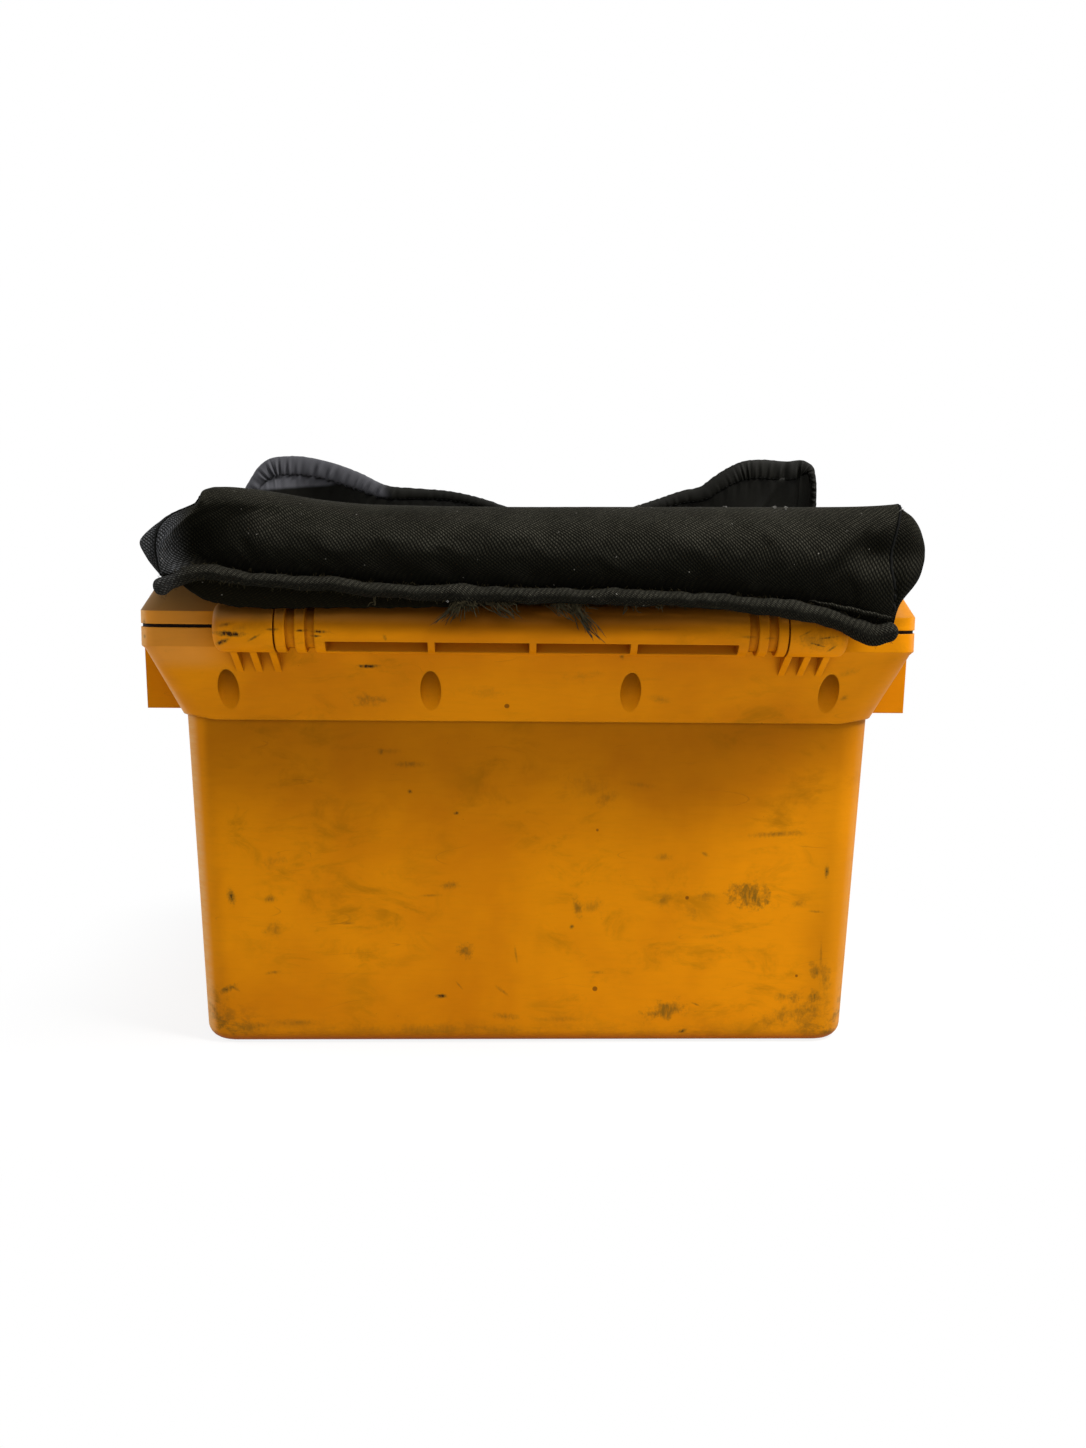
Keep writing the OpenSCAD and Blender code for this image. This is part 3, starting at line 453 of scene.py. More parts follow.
def makeFabric(name, dark, thread, dusty, leftLight, pitch, depth, fade=0.12):
    # Worn black cloth: dark between the threads, greyer on their tops, dusty where it faces up, with
    # stray lint. The dust also paints the light from above, and its lack in covered places paints their
    # shade; a painted light at its left corner stands for the light from the left
    material, tree, shader = newMaterial(name)
    cloth = put(tree, "ShaderNodeUVMap", uv_map="cloth").outputs[0]
    place = objectPlace(tree)
    weave = useGroup(tree, weaveGroup, {"Cloth": cloth, "Pitch": pitch})
    facing = objectFacing(tree)[2]
    patch = noise(tree, place, 34.0, 5.0, 0.65, 0.4)
    cover = put(tree, "ShaderNodeAmbientOcclusion", {"Distance": 0.02}, samples=6).outputs["AO"]
    # Dust kept out of covered places: painted shade there
    patch = times(tree, ramp(tree, patch, 0.3, 0.7, 0.5, 1.0), ramp(tree, cover, 0.3, 0.75))
    # Dust on what faces up, strong enough to paint the light from above too
    dust = times(tree, ramp(tree, facing, -0.2, 0.48), patch)
    # Painted light at the left corner, from the light on the left
    corner = ramp(tree, axes(tree, place)[0], -0.188, -0.203)
    dusty = tint(tree, corner, dusty, leftLight)
    dust = larger(tree, dust, times(tree, times(tree, corner, patch), 0.7))
    raised = ramp(tree, times(tree, weave["Thread"], weave["Thread"]), 0.04, 0.7)
    raised = times(tree, raised, ramp(tree, noise(tree, place, 900.0, 3.0, 0.7), 0.35, 0.62, 0.3, 1.0))
    colour = tint(tree, raised, dark, tint(tree, dust, thread, dusty))
    colour = tint(tree, times(tree, dust, fade), colour, dusty)
    cells = put(tree, "ShaderNodeTexVoronoi", {"Vector": cloth, "Scale": 420.0, "Randomness": 1.0})
    chosen = put(tree, "ShaderNodeSeparateColor", {0: cells.outputs["Color"]}).outputs[0]
    size = times(tree, ramp(tree, chosen, 0.95, 1.0), 0.16)
    speck = ramp(tree, calc(tree, "SUBTRACT", cells.outputs["Distance"], size), 0.0, 0.04, 1.0, 0.0)
    colour = tint(tree, times(tree, speck, 0.6), colour, (0.19, 0.18, 0.16, 1.0))
    relief = timesPlus(tree, noise(tree, place, 420.0, 2.0), 0.4, weave["Thread"])
    addBump(tree, shader, 0.7, depth, relief)
    finishShader(tree, shader, colour, 0.9, 0.05)
    return material


def makeNylon(name, limit, rise, least, light=1.0):
    # Hem cloth, black and finely woven, with painted light: bluish-grey where the left end is lit, up to a
    # limit across and above a slanting line
    material, tree, shader = newMaterial(name)
    cloth = put(tree, "ShaderNodeUVMap", uv_map="cloth").outputs[0]
    place = objectPlace(tree)
    split = axes(tree, place)
    edge = timesPlus(tree, noise(tree, place, 60.0, 2.0), 0.012, split[0])
    litPart = times(tree, ramp(tree, edge, limit - 0.007, limit + 0.007, 1.0, 0.0),
                ramp(tree, timesPlus(tree, edge, -rise, split[2]), least, least + 0.003))
    weave = useGroup(tree, weaveGroup, {"Cloth": cloth, "Pitch": 0.0011})
    patch = noise(tree, place, 48.0, 5.0, 0.65)
    black = tint(tree, patch, (0.0022, 0.0021, 0.0014, 1.0), (0.0062, 0.0058, 0.0036, 1.0))
    litGreys = [(shade * light, shade * light, blue * light, 1.0)
             for shade, blue in ((0.062, 0.071), (0.088, 0.098))]
    grey = tint(tree, patch, *litGreys)
    colour = tint(tree, litPart, black, grey)
    colour = tint(tree, times(tree, weave["Thread"], 0.25), colour, (0.002, 0.002, 0.002, 1.0))
    addBump(tree, shader, 0.5, 0.00015, weave["Thread"])
    finishShader(tree, shader, colour, 0.6, 0.10)
    return material


def makeFibre(name, dark, light):
    material, tree, shader = newMaterial(name)
    place = objectPlace(tree)
    colour = tint(tree, noise(tree, place, 300.0, 2.0), dark, light)
    finishShader(tree, shader, colour, 0.8, 0.1)
    return material


tubOrange = makeOrange("tubOrange", tubMarks, 0.010, 0.060, 0.84)
collarOrange = makeOrange("collarOrange", collarMarks, 0.006, 0.020, 0.0, 0.8)
plainOrange = makeOrange("plainOrange", (), 0.006, 0.015, 0.0)
steel, rubber, slatPlastic = makeSteel(), makeRubber(), makeSlatPlastic()
twill = makeFabric("blackTwill", (0.0014, 0.0013, 0.0006, 1.0), (0.0080, 0.0072, 0.0036, 1.0),
                   (0.051, 0.0482, 0.0365, 1.0), (0.175, 0.180, 0.194, 1.0), 0.0018, 0.0010)
lining = makeFabric("darkLining", (0.003, 0.0024, 0.0008, 1.0), (0.008, 0.0065, 0.0025, 1.0),
                    (0.009, 0.0075, 0.0035, 1.0), (0.009, 0.0075, 0.0035, 1.0), 0.0019, 0.0004)
binding = makeFabric("edgeBinding", (0.003, 0.0028, 0.0018, 1.0), (0.024, 0.0228, 0.0160, 1.0),
                     (0.062, 0.0590, 0.0460, 1.0), (0.085, 0.085, 0.085, 1.0), 0.0016, 0.0011)
casingNylon = makeNylon("casingNylon", -0.097, 0.02, 0.3515)
hemNylon = makeNylon("hemNylon", -0.136, 0.085, 0.3700, 1.7)
blackFibre = makeFibre("blackFibre", (0.010, 0.008, 0.003, 1.0), (0.052, 0.043, 0.022, 1.0))
# Dark fibre for the painted shadow in the end seams
seamShadowCord = makeFibre("seamShadowCord", (0.0012, 0.0012, 0.0010, 1.0), (0.004, 0.004, 0.0035, 1.0))
paleFibre = makeFibre("paleFibre", (0.10, 0.095, 0.085, 1.0), (0.30, 0.29, 0.27, 1.0))


def makeSmoothing():
    # Joins a shell's loose triangles and shades it smooth, with edges sharper than the angle kept crisp
    group = bpy.data.node_groups.new("smoothShell", "GeometryNodeTree")
    for way in ("INPUT", "OUTPUT"):
        group.interface.new_socket("Geometry", in_out=way, socket_type="NodeSocketGeometry")
    start, end = group.nodes.new("NodeGroupInput"), group.nodes.new("NodeGroupOutput")
    drop = put(group, "GeometryNodeRemoveAttribute", {0: start.outputs[0], "Name": "custom_normal"})
    joined = put(group, "GeometryNodeMergeByDistance", {"Geometry": drop.outputs[0], "Distance": 0.00002})
    smooth = put(group, "GeometryNodeSetShadeSmooth", {0: joined.outputs[0], "Shade Smooth": True},
                 domain="FACE")
    angle = put(group, "GeometryNodeInputMeshEdgeAngle")
    sharp = put(group, "FunctionNodeCompare", {0: angle.outputs[0], 1: math.radians(24)},
                data_type="FLOAT", operation="GREATER_THAN")
    crisp = put(group, "GeometryNodeSetShadeSmooth", {0: smooth.outputs[0], "Selection": sharp.outputs[0],
                                                      "Shade Smooth": False}, domain="EDGE")
    group.links.new(crisp.outputs[0], end.inputs[0])
    return group


smoothing = makeSmoothing()
finishes = {"tub": tubOrange, "rim_frame": collarOrange, "lid_shell": collarOrange, "lid_gasket": rubber}
finishes.update((name, steel) for name in nodes if name.endswith("_screws") or "_pin_" in name)
for name, obj in nodes.items():
    finish = finishes.get(name) or (slatPlastic if name.startswith("divider") else plainOrange)
    obj.data.materials.clear()
    obj.data.materials.append(finish)
    obj.modifiers.new("smoothShell", "NODES").node_group = smoothing
print("finishes on the solids")

# Surfaces from arrays

def smoothThrough(places, values, at):  # cubic through a few points, slopes from each point's neighbours
    p, v = np.asarray(places, float), np.asarray(values, float)
    slope = np.gradient(v, p)
    k = np.clip(np.searchsorted(p, at) - 1, 0, len(p) - 2)
    h = p[k + 1] - p[k]
    t = np.clip((at - p[k]) / h, 0.0, 1.0)
    return ((2 * t ** 3 - 3 * t ** 2 + 1) * v[k] + (t ** 3 - 2 * t ** 2 + t) * h * slope[k]
            + (3 * t ** 2 - 2 * t ** 3) * v[k + 1] + (t ** 3 - t ** 2) * h * slope[k + 1])


def smoothStep(low, high, at):
    t = np.clip((at - low) / (high - low), 0.0, 1.0)
    return t * t * (3 - 2 * t)


def loopThrough(points, at):  # closed cubic through points stacked on axis 1, read at turns 0 to 1
    count = points.shape[1]
    place = (np.asarray(at) % 1.0) * count
    k = np.floor(place).astype(int)
    t = (place - k)[None, :, None]
    before, here, then, after = (points[:, (k + step) % count] for step in (-1, 0, 1, 2))
    return 0.5 * (2 * here + (then - before) * t + (2 * before - 5 * here + 4 * then - after) * t ** 2
                  + (3 * here - before - 3 * then + after) * t ** 3)


def wave(at, seed, *lengths):  # smooth unevenness: sines of unlike lengths, each half as strong as the last
    total = np.zeros_like(np.asarray(at, float))
    for order, length in enumerate(lengths):
        total = total + np.sin(at * 2 * math.pi / length + seed * (1.7 + 2.3 * order)) * 0.5 ** order
    return total / sum(0.5 ** order for order in range(len(lengths)))


def bump1(at, centre, width):
    return np.exp(-((at - centre) / width) ** 2)


def gridFaces(rows, columns, closed=False):  # quads between neighbouring grid points, round the end if closed
    across = columns if closed else columns - 1
    i, j = np.meshgrid(np.arange(rows - 1), np.arange(across), indexing="ij")
    a, b = i * columns + j, i * columns + (j + 1) % columns
    return np.stack([a, b, b + columns, a + columns], -1).reshape(-1, 4)


def endFaces(first, columns, turned):  # closes a flattened loop: quads between point j and its opposite
    j = np.arange(columns // 2 - 1)
    quads = first + np.stack([j, j + 1, columns - 2 - j, columns - 1 - j], -1)
    return quads[:, ::-1] if turned else quads


def makeMesh(name, points, faces, uv=None, material=None, flip=False):
    if flip:
        faces = faces[:, ::-1]
    mesh = bpy.data.meshes.new(name)
    mesh.vertices.add(len(points))
    mesh.vertices.foreach_set("co", np.asarray(points, np.float32).ravel())
    mesh.loops.add(faces.size)
    mesh.loops.foreach_set("vertex_index", faces.ravel().astype(np.int32))
    mesh.polygons.add(len(faces))
    mesh.polygons.foreach_set("loop_start", np.arange(0, faces.size, faces.shape[1], dtype=np.int32))
    mesh.polygons.foreach_set("use_smooth", np.ones(len(faces), bool))
    mesh.update(calc_edges=True)
    if uv is not None:
        layer = mesh.uv_layers.new(name="cloth")
        layer.data.foreach_set("uv", np.asarray(uv, np.float32)[faces.ravel()].ravel())
    mesh.validate()
    made = bpy.data.objects.new(name, mesh)
    bpy.context.scene.collection.objects.link(made)
    if material:
        mesh.materials.append(material)
    return made


def closedSkin(name, grid, along, around, material, flip=False, turned=True):
    # Skin over rings of points, shut flat at both ends, with its flat cloth places in metres
    rows, columns = grid.shape[:2]
    uv = np.stack(np.broadcast_arrays(along, around), -1).reshape(-1, 2)
    faces = np.concatenate([gridFaces(rows, columns, True), endFaces(0, columns, turned),
                            endFaces((rows - 1) * columns, columns, not turned)])
    return makeMesh(name, grid.reshape(-1, 3), faces, uv, material, flip)


def runLengths(points, axis):  # distance run along one axis of a grid of points
    step = np.linalg.norm(np.diff(points, axis=axis), axis=-1)
    start = np.zeros_like(np.take(step, [0], axis=axis))
    return np.cumsum(np.concatenate([start, step], axis=axis), axis=axis)


def tubeAlong(paths, radius, sides=3):
    # Tapered tubes, all at once: paths is (tube, point, xyz), each ringed by a small polygon square to
    # its run, full along its middle and pinched shut at both ends
    count, length = paths.shape[:2]
    run = np.gradient(paths, axis=1)
    run /= np.maximum(np.linalg.norm(run, axis=-1, keepdims=True), 1e-9)
    side = np.cross(run, np.array([0.31, 0.17, 0.93]))
    side /= np.maximum(np.linalg.norm(side, axis=-1, keepdims=True), 1e-9)
    over = np.cross(run, side)
    turn = np.linspace(0, 2 * math.pi, sides, endpoint=False)
    taper = np.sqrt(np.clip(1 - np.linspace(-1.0, 1.0, length) ** 4, 0.0004, 1))[None, :, None, None]
    spin = turn[None, None, :, None]
    ring = np.cos(spin) * side[:, :, None] + np.sin(spin) * over[:, :, None]
    points = paths[:, :, None] + ring * taper * np.reshape(radius, (-1, 1, 1, 1))
    faces = gridFaces(length, sides, True)
    return points.reshape(-1, 3), np.concatenate([faces + k * length * sides for k in range(count)])


# The seat pad

pad = {
    "topAt": (-0.210, -0.1925, -0.1898, -0.1882, -0.1862, -0.1813, -0.1758, -0.1611, -0.1445, -0.1232,
              -0.0998, -0.0647, -0.0194, 0.0377, 0.095, 0.1521, 0.1965, 0.2064, 0.223),
    "top": (0.0355, 0.0366, 0.0376, 0.0398, 0.0428, 0.0462, 0.0468, 0.0463, 0.0444, 0.0412, 0.0391,
            0.0384, 0.0383, 0.0390, 0.0396, 0.0402, 0.0410, 0.0418, 0.041),
    "lowAt": (-0.223, -0.205, -0.190, -0.136, -0.090, -0.043, 0.004, 0.047, 0.097, 0.130, 0.155, 0.180,
              0.197, 0.215),
    "low": (-0.008, -0.005, -0.001, -0.0045, -0.007, -0.0085, -0.0095, -0.0095, -0.011, -0.0135, -0.0165,
            -0.023, -0.028, -0.027),
    "leftSeam": ((-0.030, -0.0007, 0.0049, 0.0119, 0.0182, 0.0224, 0.0266, 0.0305, 0.0339, 0.0362,
                  0.040),
                 (-0.205, -0.2076, -0.2086, -0.2097, -0.2093, -0.2086, -0.2054, -0.2012, -0.1936,
                  -0.1880, -0.1857)),
    "leftFold": ((-0.0100, -0.0021, 0.0049, 0.0105, 0.0161, 0.0238, 0.0308, 0.0360),
                 (-0.2075, -0.2062, -0.2051, -0.2048, -0.2016, -0.1946, -0.1876, -0.1830)),
    "leftOut": ((-0.012, -0.0011, 0.0055, 0.0099, 0.0154, 0.0232, 0.0277, 0.0305, 0.0339, 0.0362, 0.038),
                (-0.2072, -0.2103, -0.2142, -0.2167, -0.2187, -0.2124, -0.2066, -0.2030, -0.1948,
                 -0.1890, -0.1865)),
    "rightSeam": ((-0.030, -0.0197, -0.005, 0.0030, 0.0118, 0.0240, 0.0380),
                  (0.2045, 0.2041, 0.2034, 0.2015, 0.2009, 0.2030, 0.2064)),
    "rightOut": ((-0.028, -0.0192, -0.0124, -0.0078, -0.0032, 0.0013, 0.0059, 0.0104, 0.0188, 0.0238,
                  0.0283, 0.0327, 0.0355, 0.0385),
                 (0.2058, 0.2075, 0.2110, 0.2154, 0.2190, 0.2211, 0.2219, 0.2227, 0.2225, 0.2214, 0.2204,
                  0.2184, 0.2162, 0.2085)),
    "rows": 150, "columns": 140, "capRows": 10, "soften": 0.0004, "pressure": 2.6, "spare": 0.008,
    "cap": 0.0013, "groove": 0.0030, "frames": 20,
}
padBox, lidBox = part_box("seat_pad"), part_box("lid_shell")
lidTop, padFront, padFar = lidBox[1][2], padBox[0][1], padBox[1][1]
restZ = lidTop + pad["soften"]


def padSection(xTop, xLow):
    # Closed loop round the pad at each place across: up the front face from the lower seam, over the
    # roll, down to the sewn channel, along the top to the far edge, and forward again along the flat
    # underside. In the middle the roll leans back; towards both ends it turns into an upright box
    top = lidTop + smoothThrough(pad["topAt"], pad["top"], xTop)
    low = lidTop + smoothThrough(pad["lowAt"], pad["low"], xLow)
    high = top - low
    boxy = np.maximum(smoothStep(0.148, 0.200, xTop), smoothStep(-0.130, -0.185, xTop))
    sag = 0.0008 * wave(xTop, 1.0, 0.23, 0.11)
    flat = np.zeros_like(xTop)

    def blend(round_, square):
        return round_ + (square - round_) * boxy

    ys = [blend(0.0098, 0.0070), blend(0.0042, 0.0026), blend(0.0006, 0.0002) + sag * 0.3,
          blend(0.0040, 0.0006) + sag, blend(0.0118, 0.0032) + sag, blend(0.0220, 0.0100),
          blend(0.0345, 0.0260), blend(0.0460, 0.0430)]
    ys += [flat + y for y in (0.0550, 0.0660, 0.085, 0.140, 0.205, 0.240, 0.2565, 0.2600, 0.250, 0.225,
                              0.140, 0.050, 0.031, 0.019)]
    zs = [low, low + high * 0.16, low + high * 0.41, low + high * 0.67, low + high * 0.885, top - 0.0006,
          top - blend(0.0014, 0.0010), top - blend(0.0062, 0.0040), top - blend(0.0115, 0.0080),
          lidTop + 0.0318 + sag, lidTop + 0.0335 + sag, lidTop + 0.0325 - sag, lidTop + 0.0310 + sag]
    zs += [z + flat for z in (lidTop + 0.0275, lidTop + 0.0215, lidTop + 0.0140, lidTop + 0.0045,
                              restZ, restZ, restZ, lidTop + 0.0002)]
    zs.append(np.minimum(low + 0.004, lidTop - 0.0035))
    return np.stack([padFront + np.stack(ys, 1), np.stack(zs, 1)], -1)


def padGrid():
    # Rows run across from the left seam to the right one, closer together near both, each seam's place
    # set by its height; past them the loop narrows to the middle line of the end while it bulges out to
    # the end's outline
    rows, columns, caps = pad["rows"], pad["columns"], pad["capRows"]
    share = np.linspace(0.0, 1.0, rows)
    share = share - 0.75 * np.sin(2 * math.pi * share) / (2 * math.pi)

    def leftAt(height):
        return smoothThrough(*pad["leftSeam"], np.clip(height, -0.03, 0.04))

    def rightAt(height):
        return smoothThrough(*pad["rightSeam"], np.clip(height, -0.03, 0.038))

    xTop = leftAt(0.037) + (rightAt(0.039) - leftAt(0.037)) * share
    xLow = leftAt(-0.004) + (rightAt(-0.028) - leftAt(-0.004)) * share
    section = padSection(xTop, xLow)
    finePoints = np.linspace(0, 1, 2400, endpoint=False)
    middle = loopThrough(section[rows // 2][None], finePoints)[0]
    pace = np.linalg.norm(np.diff(middle, axis=0), axis=1)
    near = 1.0 + 1.6 * smoothStep(0.10, 0.02, middle[:-1, 0] - padFront)
    run = np.concatenate([[0], np.cumsum(pace * near)])
    turns = np.interp(np.linspace(0, 1, columns, endpoint=False) * run[-1], run, np.linspace(0, 1, len(run)))
    loops = loopThrough(section, turns)
    height = loops[..., 1] - lidTop
    back = smoothStep(0.02, 0.09, loops[..., 0] - padFront)
    left = leftAt(height) * (1 - back) + back * -0.2085
    right = rightAt(height) * (1 - back) + back * 0.2080
    body = np.concatenate([(left + (right - left) * share[:, None])[..., None], loops], -1)
    x, h, depth = body[..., 0], body[..., 2] - lidTop, body[..., 1] - padFront
    front = smoothStep(0.045, 0.015, depth) * smoothStep(-0.004, 0.004, h)
    off = x - smoothThrough(*pad["leftFold"], np.clip(h, -0.01, 0.036))
    past = np.clip(off, 0.0, None) / 0.013
    body[..., 1] += front * (0.0110 * past * np.exp(1 - past) * bump1(h, 0.013, 0.016)
                             - 0.0038 * bump1(off, 0.0, 0.0021)
                             + 0.0040 * smoothStep(0.0, -0.012, off) * smoothStep(-0.15, -0.17, x)
                             + 0.0046 * bump1(x, 0.190, 0.012) * bump1(h, 0.013, 0.010)
                             - 0.0014 * bump1(x, 0.176, 0.010) * bump1(h, 0.020, 0.012)
                             + 0.0012 * bump1(x, 0.165 + 0.9 * h, 0.005) * smoothStep(0.03, 0.0, h))
    parts = [body]
    for end, outline, middleZ in ((0, pad["leftOut"], 0.0154), (-1, pad["rightOut"], 0.0145)):
        s = (np.arange(1, caps + 1) / caps * 0.97)[:, None]
        seam = body[end][None]
        deep = seam[..., 1] - padFront
        shrink = 1.0 - s if end == 0 else np.cos(s * math.pi / 2)
        grow = np.sin(np.clip(s / 0.32, 0, 1) * math.pi / 2) if end == 0 else np.sin(s * math.pi / 2) ** 0.8
        centreY = padFront + np.clip(deep, 0.013, 0.248)
        z = lidTop + middleZ + (seam[..., 2] - lidTop - middleZ) * shrink
        out = smoothThrough(*outline, np.clip(z - lidTop, outline[0][0], outline[0][-1]))
        rear = seam[..., 0] + (0.0095 if end else -0.0080)
        out = out + (rear - out) * smoothStep(0.03, 0.09, deep)
        cap = np.empty((caps,) + body.shape[1:])
        cap[..., 0] = seam[..., 0] + (out - seam[..., 0]) * grow
        cap[..., 1] = centreY + (seam[..., 1] - centreY) * shrink
        cap[..., 2] = z
        parts = parts + [cap] if end == -1 else [cap[::-1]] + parts
    return np.concatenate(parts, 0)


def swell(piece, grid, free):
    # A short pressure simulation of the closed cloth, held where it is sewn; each point then goes its
    # share of the way that it moved, and no further than the cap
    cloth = piece.modifiers.new("cloth", "CLOTH")
    settings = cloth.settings
    group = piece.vertex_groups.new(name="sewn")
    weights = 1.0 - free.ravel()
    for level in np.unique(np.round(weights, 1)):
        chosen = np.flatnonzero(np.round(weights, 1) == level)
        group.add([int(k) for k in chosen], float(level), "REPLACE")
    settings.quality, settings.mass = 5, 0.12
    settings.tension_stiffness = settings.compression_stiffness = 12.0
    settings.shear_stiffness, settings.bending_stiffness = 4.0, 0.25
    settings.use_pressure, settings.uniform_pressure_force = True, pad["pressure"]
    settings.shrink_min = -pad["spare"]
    settings.effector_weights.gravity = 0.0
    settings.vertex_group_mass = "sewn"
    cloth.collision_settings.use_collision = False
    cloth.point_cache.frame_start, cloth.point_cache.frame_end = 1, pad["frames"]
    scene = bpy.context.scene
    for step in range(1, pad["frames"] + 1):
        scene.frame_set(step)
    moved = np.empty(grid.size, np.float32)
    done = piece.evaluated_get(bpy.context.evaluated_depsgraph_get())
    done.data.vertices.foreach_get("co", moved)
    piece.modifiers.remove(cloth)
    piece.vertex_groups.clear()
    scene.frame_set(1)
    shift = moved.reshape(-1, 3) - grid.reshape(-1, 3)
    far = np.linalg.norm(shift, axis=1)
    print("pad cloth moved, mm, middle and most:",
          *(round(float(value) * 1000, 2) for value in (np.median(far), far.max())))
    limit = pad["cap"] * np.tanh(far / pad["cap"]) / np.maximum(far, 1e-9)
    return (grid.reshape(-1, 3) + shift * (limit * free.ravel())[:, None]).reshape(grid.shape)


def makePadBody(material):
    grid = padGrid()
    rows, caps = len(grid), pad["capRows"]
    along = runLengths(grid, 0)
    around = runLengths(np.concatenate([grid, grid[:, :1]], 1), 1)[rows // 2][None, :-1]
    piece = closedSkin("padBody", grid, along, around, material, flip=True)
    deep, high = grid[..., 1] - padFront, grid[..., 2] - lidTop
    under = smoothStep(0.0035, 0.010, high) + smoothStep(0.016, 0.008, deep)
    channel = 1 - 0.9 * bump1(deep, 0.055, 0.006) * smoothStep(0.02, 0.028, high)
    lower = smoothStep(0.0, 0.004, np.abs(grid[..., 2] - grid[:, :1, 2])) + smoothStep(0.05, 0.06, deep)
    row = np.arange(rows)[:, None]
    fromSeam = np.minimum(np.abs(row - caps), np.abs(row - (rows - 1 - caps)))
    crest = 1 - 0.7 * bump1(deep, 0.020, 0.016) * smoothStep(0.028, 0.036, high)
    ends = 0.35 + 0.65 * ((row >= caps) & (row <= rows - 1 - caps))
    free = np.clip(under, 0, 1) * channel * np.clip(lower, 0, 1)
    free = free * np.clip(fromSeam / 2.0, 0, 1) * crest * ends
    grid = swell(piece, grid, free)
    sewn = np.exp(-(fromSeam / 1.3) ** 2)
    seen = smoothStep(0.060, 0.030, deep) * smoothStep(-0.022, -0.012, high)
    grid[..., 1] += pad["groove"] * sewn * seen
    grid[..., 1] = np.maximum(grid[..., 1], padFront - 0.0030)
    piece.data.vertices.foreach_set("co", grid.astype(np.float32).ravel())
    piece.data.update()
    finer = piece.modifiers.new("finer", "SUBSURF")
    finer.levels = finer.render_levels = 1
    return piece, grid


padBody, padShape = makePadBody(twill)
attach(padBody, "pad")
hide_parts("seat_pad")
print("pad body made")

piping = {
    "high": 0.0090, "deep": 0.0078, "proud": 0.0040, "rib": 0.0013, "length": 0.424, "knob": 0.005,
    "at": (-0.2105, -0.2063, -0.200, -0.190, -0.165, -0.136, -0.115, -0.090, -0.043, 0.004, 0.047, 0.097,
           0.130, 0.155, 0.180, 0.194, 0.2070),
    "line": (-0.0112, -0.0092, -0.0062, -0.0015, -0.0035, -0.006, -0.0065, -0.0095, -0.0113, -0.0120,
             -0.0123, -0.0138, -0.0168, -0.0198, -0.0272, -0.0322, -0.0292),
    "stout": (1.25, 1.18, 0.94, 0.92, 0.88, 0.80, 0.93, 0.82, 1.06, 0.90, 1.00, 0.90, 1.08, 1.14, 1.24,
              1.30, 1.15),
}


def pipingLine(x):
    return lidTop + smoothThrough(piping["at"], piping["line"], x)


def makePiping(material):
    # Tube along the lower front seam: an oval carried along the path, uneven in width, finely ribbed
    # across, and closed to a knob at each end
    rows, columns = 1500, 22
    s = np.linspace(0, 1, rows)
    x = piping["at"][0] + (piping["at"][-1] - piping["at"][0]) * s
    z = pipingLine(x) + 0.0005 * wave(x, 3.0, 0.031, 0.013)
    y = padFront + piping["proud"] + 0.0009 * wave(x, 2.0, 0.12, 0.043, 0.019)
    end = np.minimum(s, 1 - s) * piping["length"]
    shrink = np.sqrt(np.clip(1 - (1 - np.clip(end / piping["knob"], 0, 1)) ** 2, 0.0004, 1))
    stout = smoothThrough(piping["at"], piping["stout"], x) * (1 + 0.11 * wave(x, 0.5, 0.047, 0.021, 0.0098))
    stout = stout + 0.22 * bump1(x, -0.0385, 0.006) - 0.12 * bump1(x, -0.049, 0.005)
    turn = np.linspace(0, 2 * math.pi, columns, endpoint=False)
    lean = np.arctan(np.gradient(z, x))
    sway = 1.3 * wave(x, 1.0, 0.05, 0.02)[:, None]
    twist = x[:, None] / piping["rib"] * math.pi + 0.9 * np.sin(turn)[None] + sway
    rib = 0.00024 * np.abs(np.sin(twist)) * (0.6 + 0.4 * wave(x, 4.0, 0.06, 0.023))[:, None]
    lumps = wave(x[:, None] + 0.004 * np.sin(2 * turn)[None], 2.0, 0.0145, 0.0062, 0.0031)
    rib = rib + 0.00034 * lumps * wave(x, 1.0, 0.09, 0.037)[:, None]
    high = (piping["high"] / 2 * stout * shrink)[:, None] + rib * shrink[:, None]
    # Fuller below the left fold, where the space behind it would otherwise show
    fuller = (0.0026 * bump1(x, -0.183, 0.014) * shrink)[:, None]
    deep = (piping["deep"] / 2 * (0.6 + 0.4 * stout) * shrink)[:, None] + rib * shrink[:, None] + fuller
    a, b = np.cos(turn)[None] * deep, np.sin(turn)[None] * high
    px = x[:, None] - b * np.sin(lean)[:, None]
    py = np.minimum(y[:, None], padFront + 0.0052) + fuller - a
    grid = np.stack([px, py, z[:, None] + b * np.cos(lean)[:, None]], -1)
    return closedSkin("padPiping", grid, runLengths(grid, 0), turn[None] * 0.0042, material)


padPiping = makePiping(binding)

seamCord = {"at": (0.155, 0.163, 0.173, 0.183, 0.193, 0.203),
            "line": (-0.0130, -0.0145, -0.0165, -0.0185, -0.0207, -0.0225),
            "radius": 0.0010, "depth": 0.0010}


def makeSeamCord(material):
    # Thin raised fold above the piping at the right, fading into the face at its inner end
    rows, columns = 160, 10
    s = np.linspace(0, 1, rows)
    x = seamCord["at"][0] + (seamCord["at"][-1] - seamCord["at"][0]) * s
    z = lidTop + smoothThrough(seamCord["at"], seamCord["line"], x) + 0.0003 * wave(x, 1.0, 0.012, 0.005)
    turn = np.linspace(0, 2 * math.pi, columns, endpoint=False)
    size = seamCord["radius"] * np.sqrt(np.clip(np.minimum(s * 2.2, (1 - s) * 14), 0.001, 1))
    y = padFront + seamCord["depth"] + 0.0016 * (1 - s) + 0.0012 * smoothStep(0.185, 0.2, x)
    out, up = (part(turn)[None] * size[:, None] for part in (np.cos, np.sin))
    x = np.broadcast_to(x[:, None], (rows, columns))
    grid = np.stack([x, y[:, None] - out, z[:, None] + up * 1.2], -1)
    return closedSkin("padSeamFold", grid, runLengths(grid, 0), turn[None] * 0.0012, material)


padSeamFold = makeSeamCord(binding)

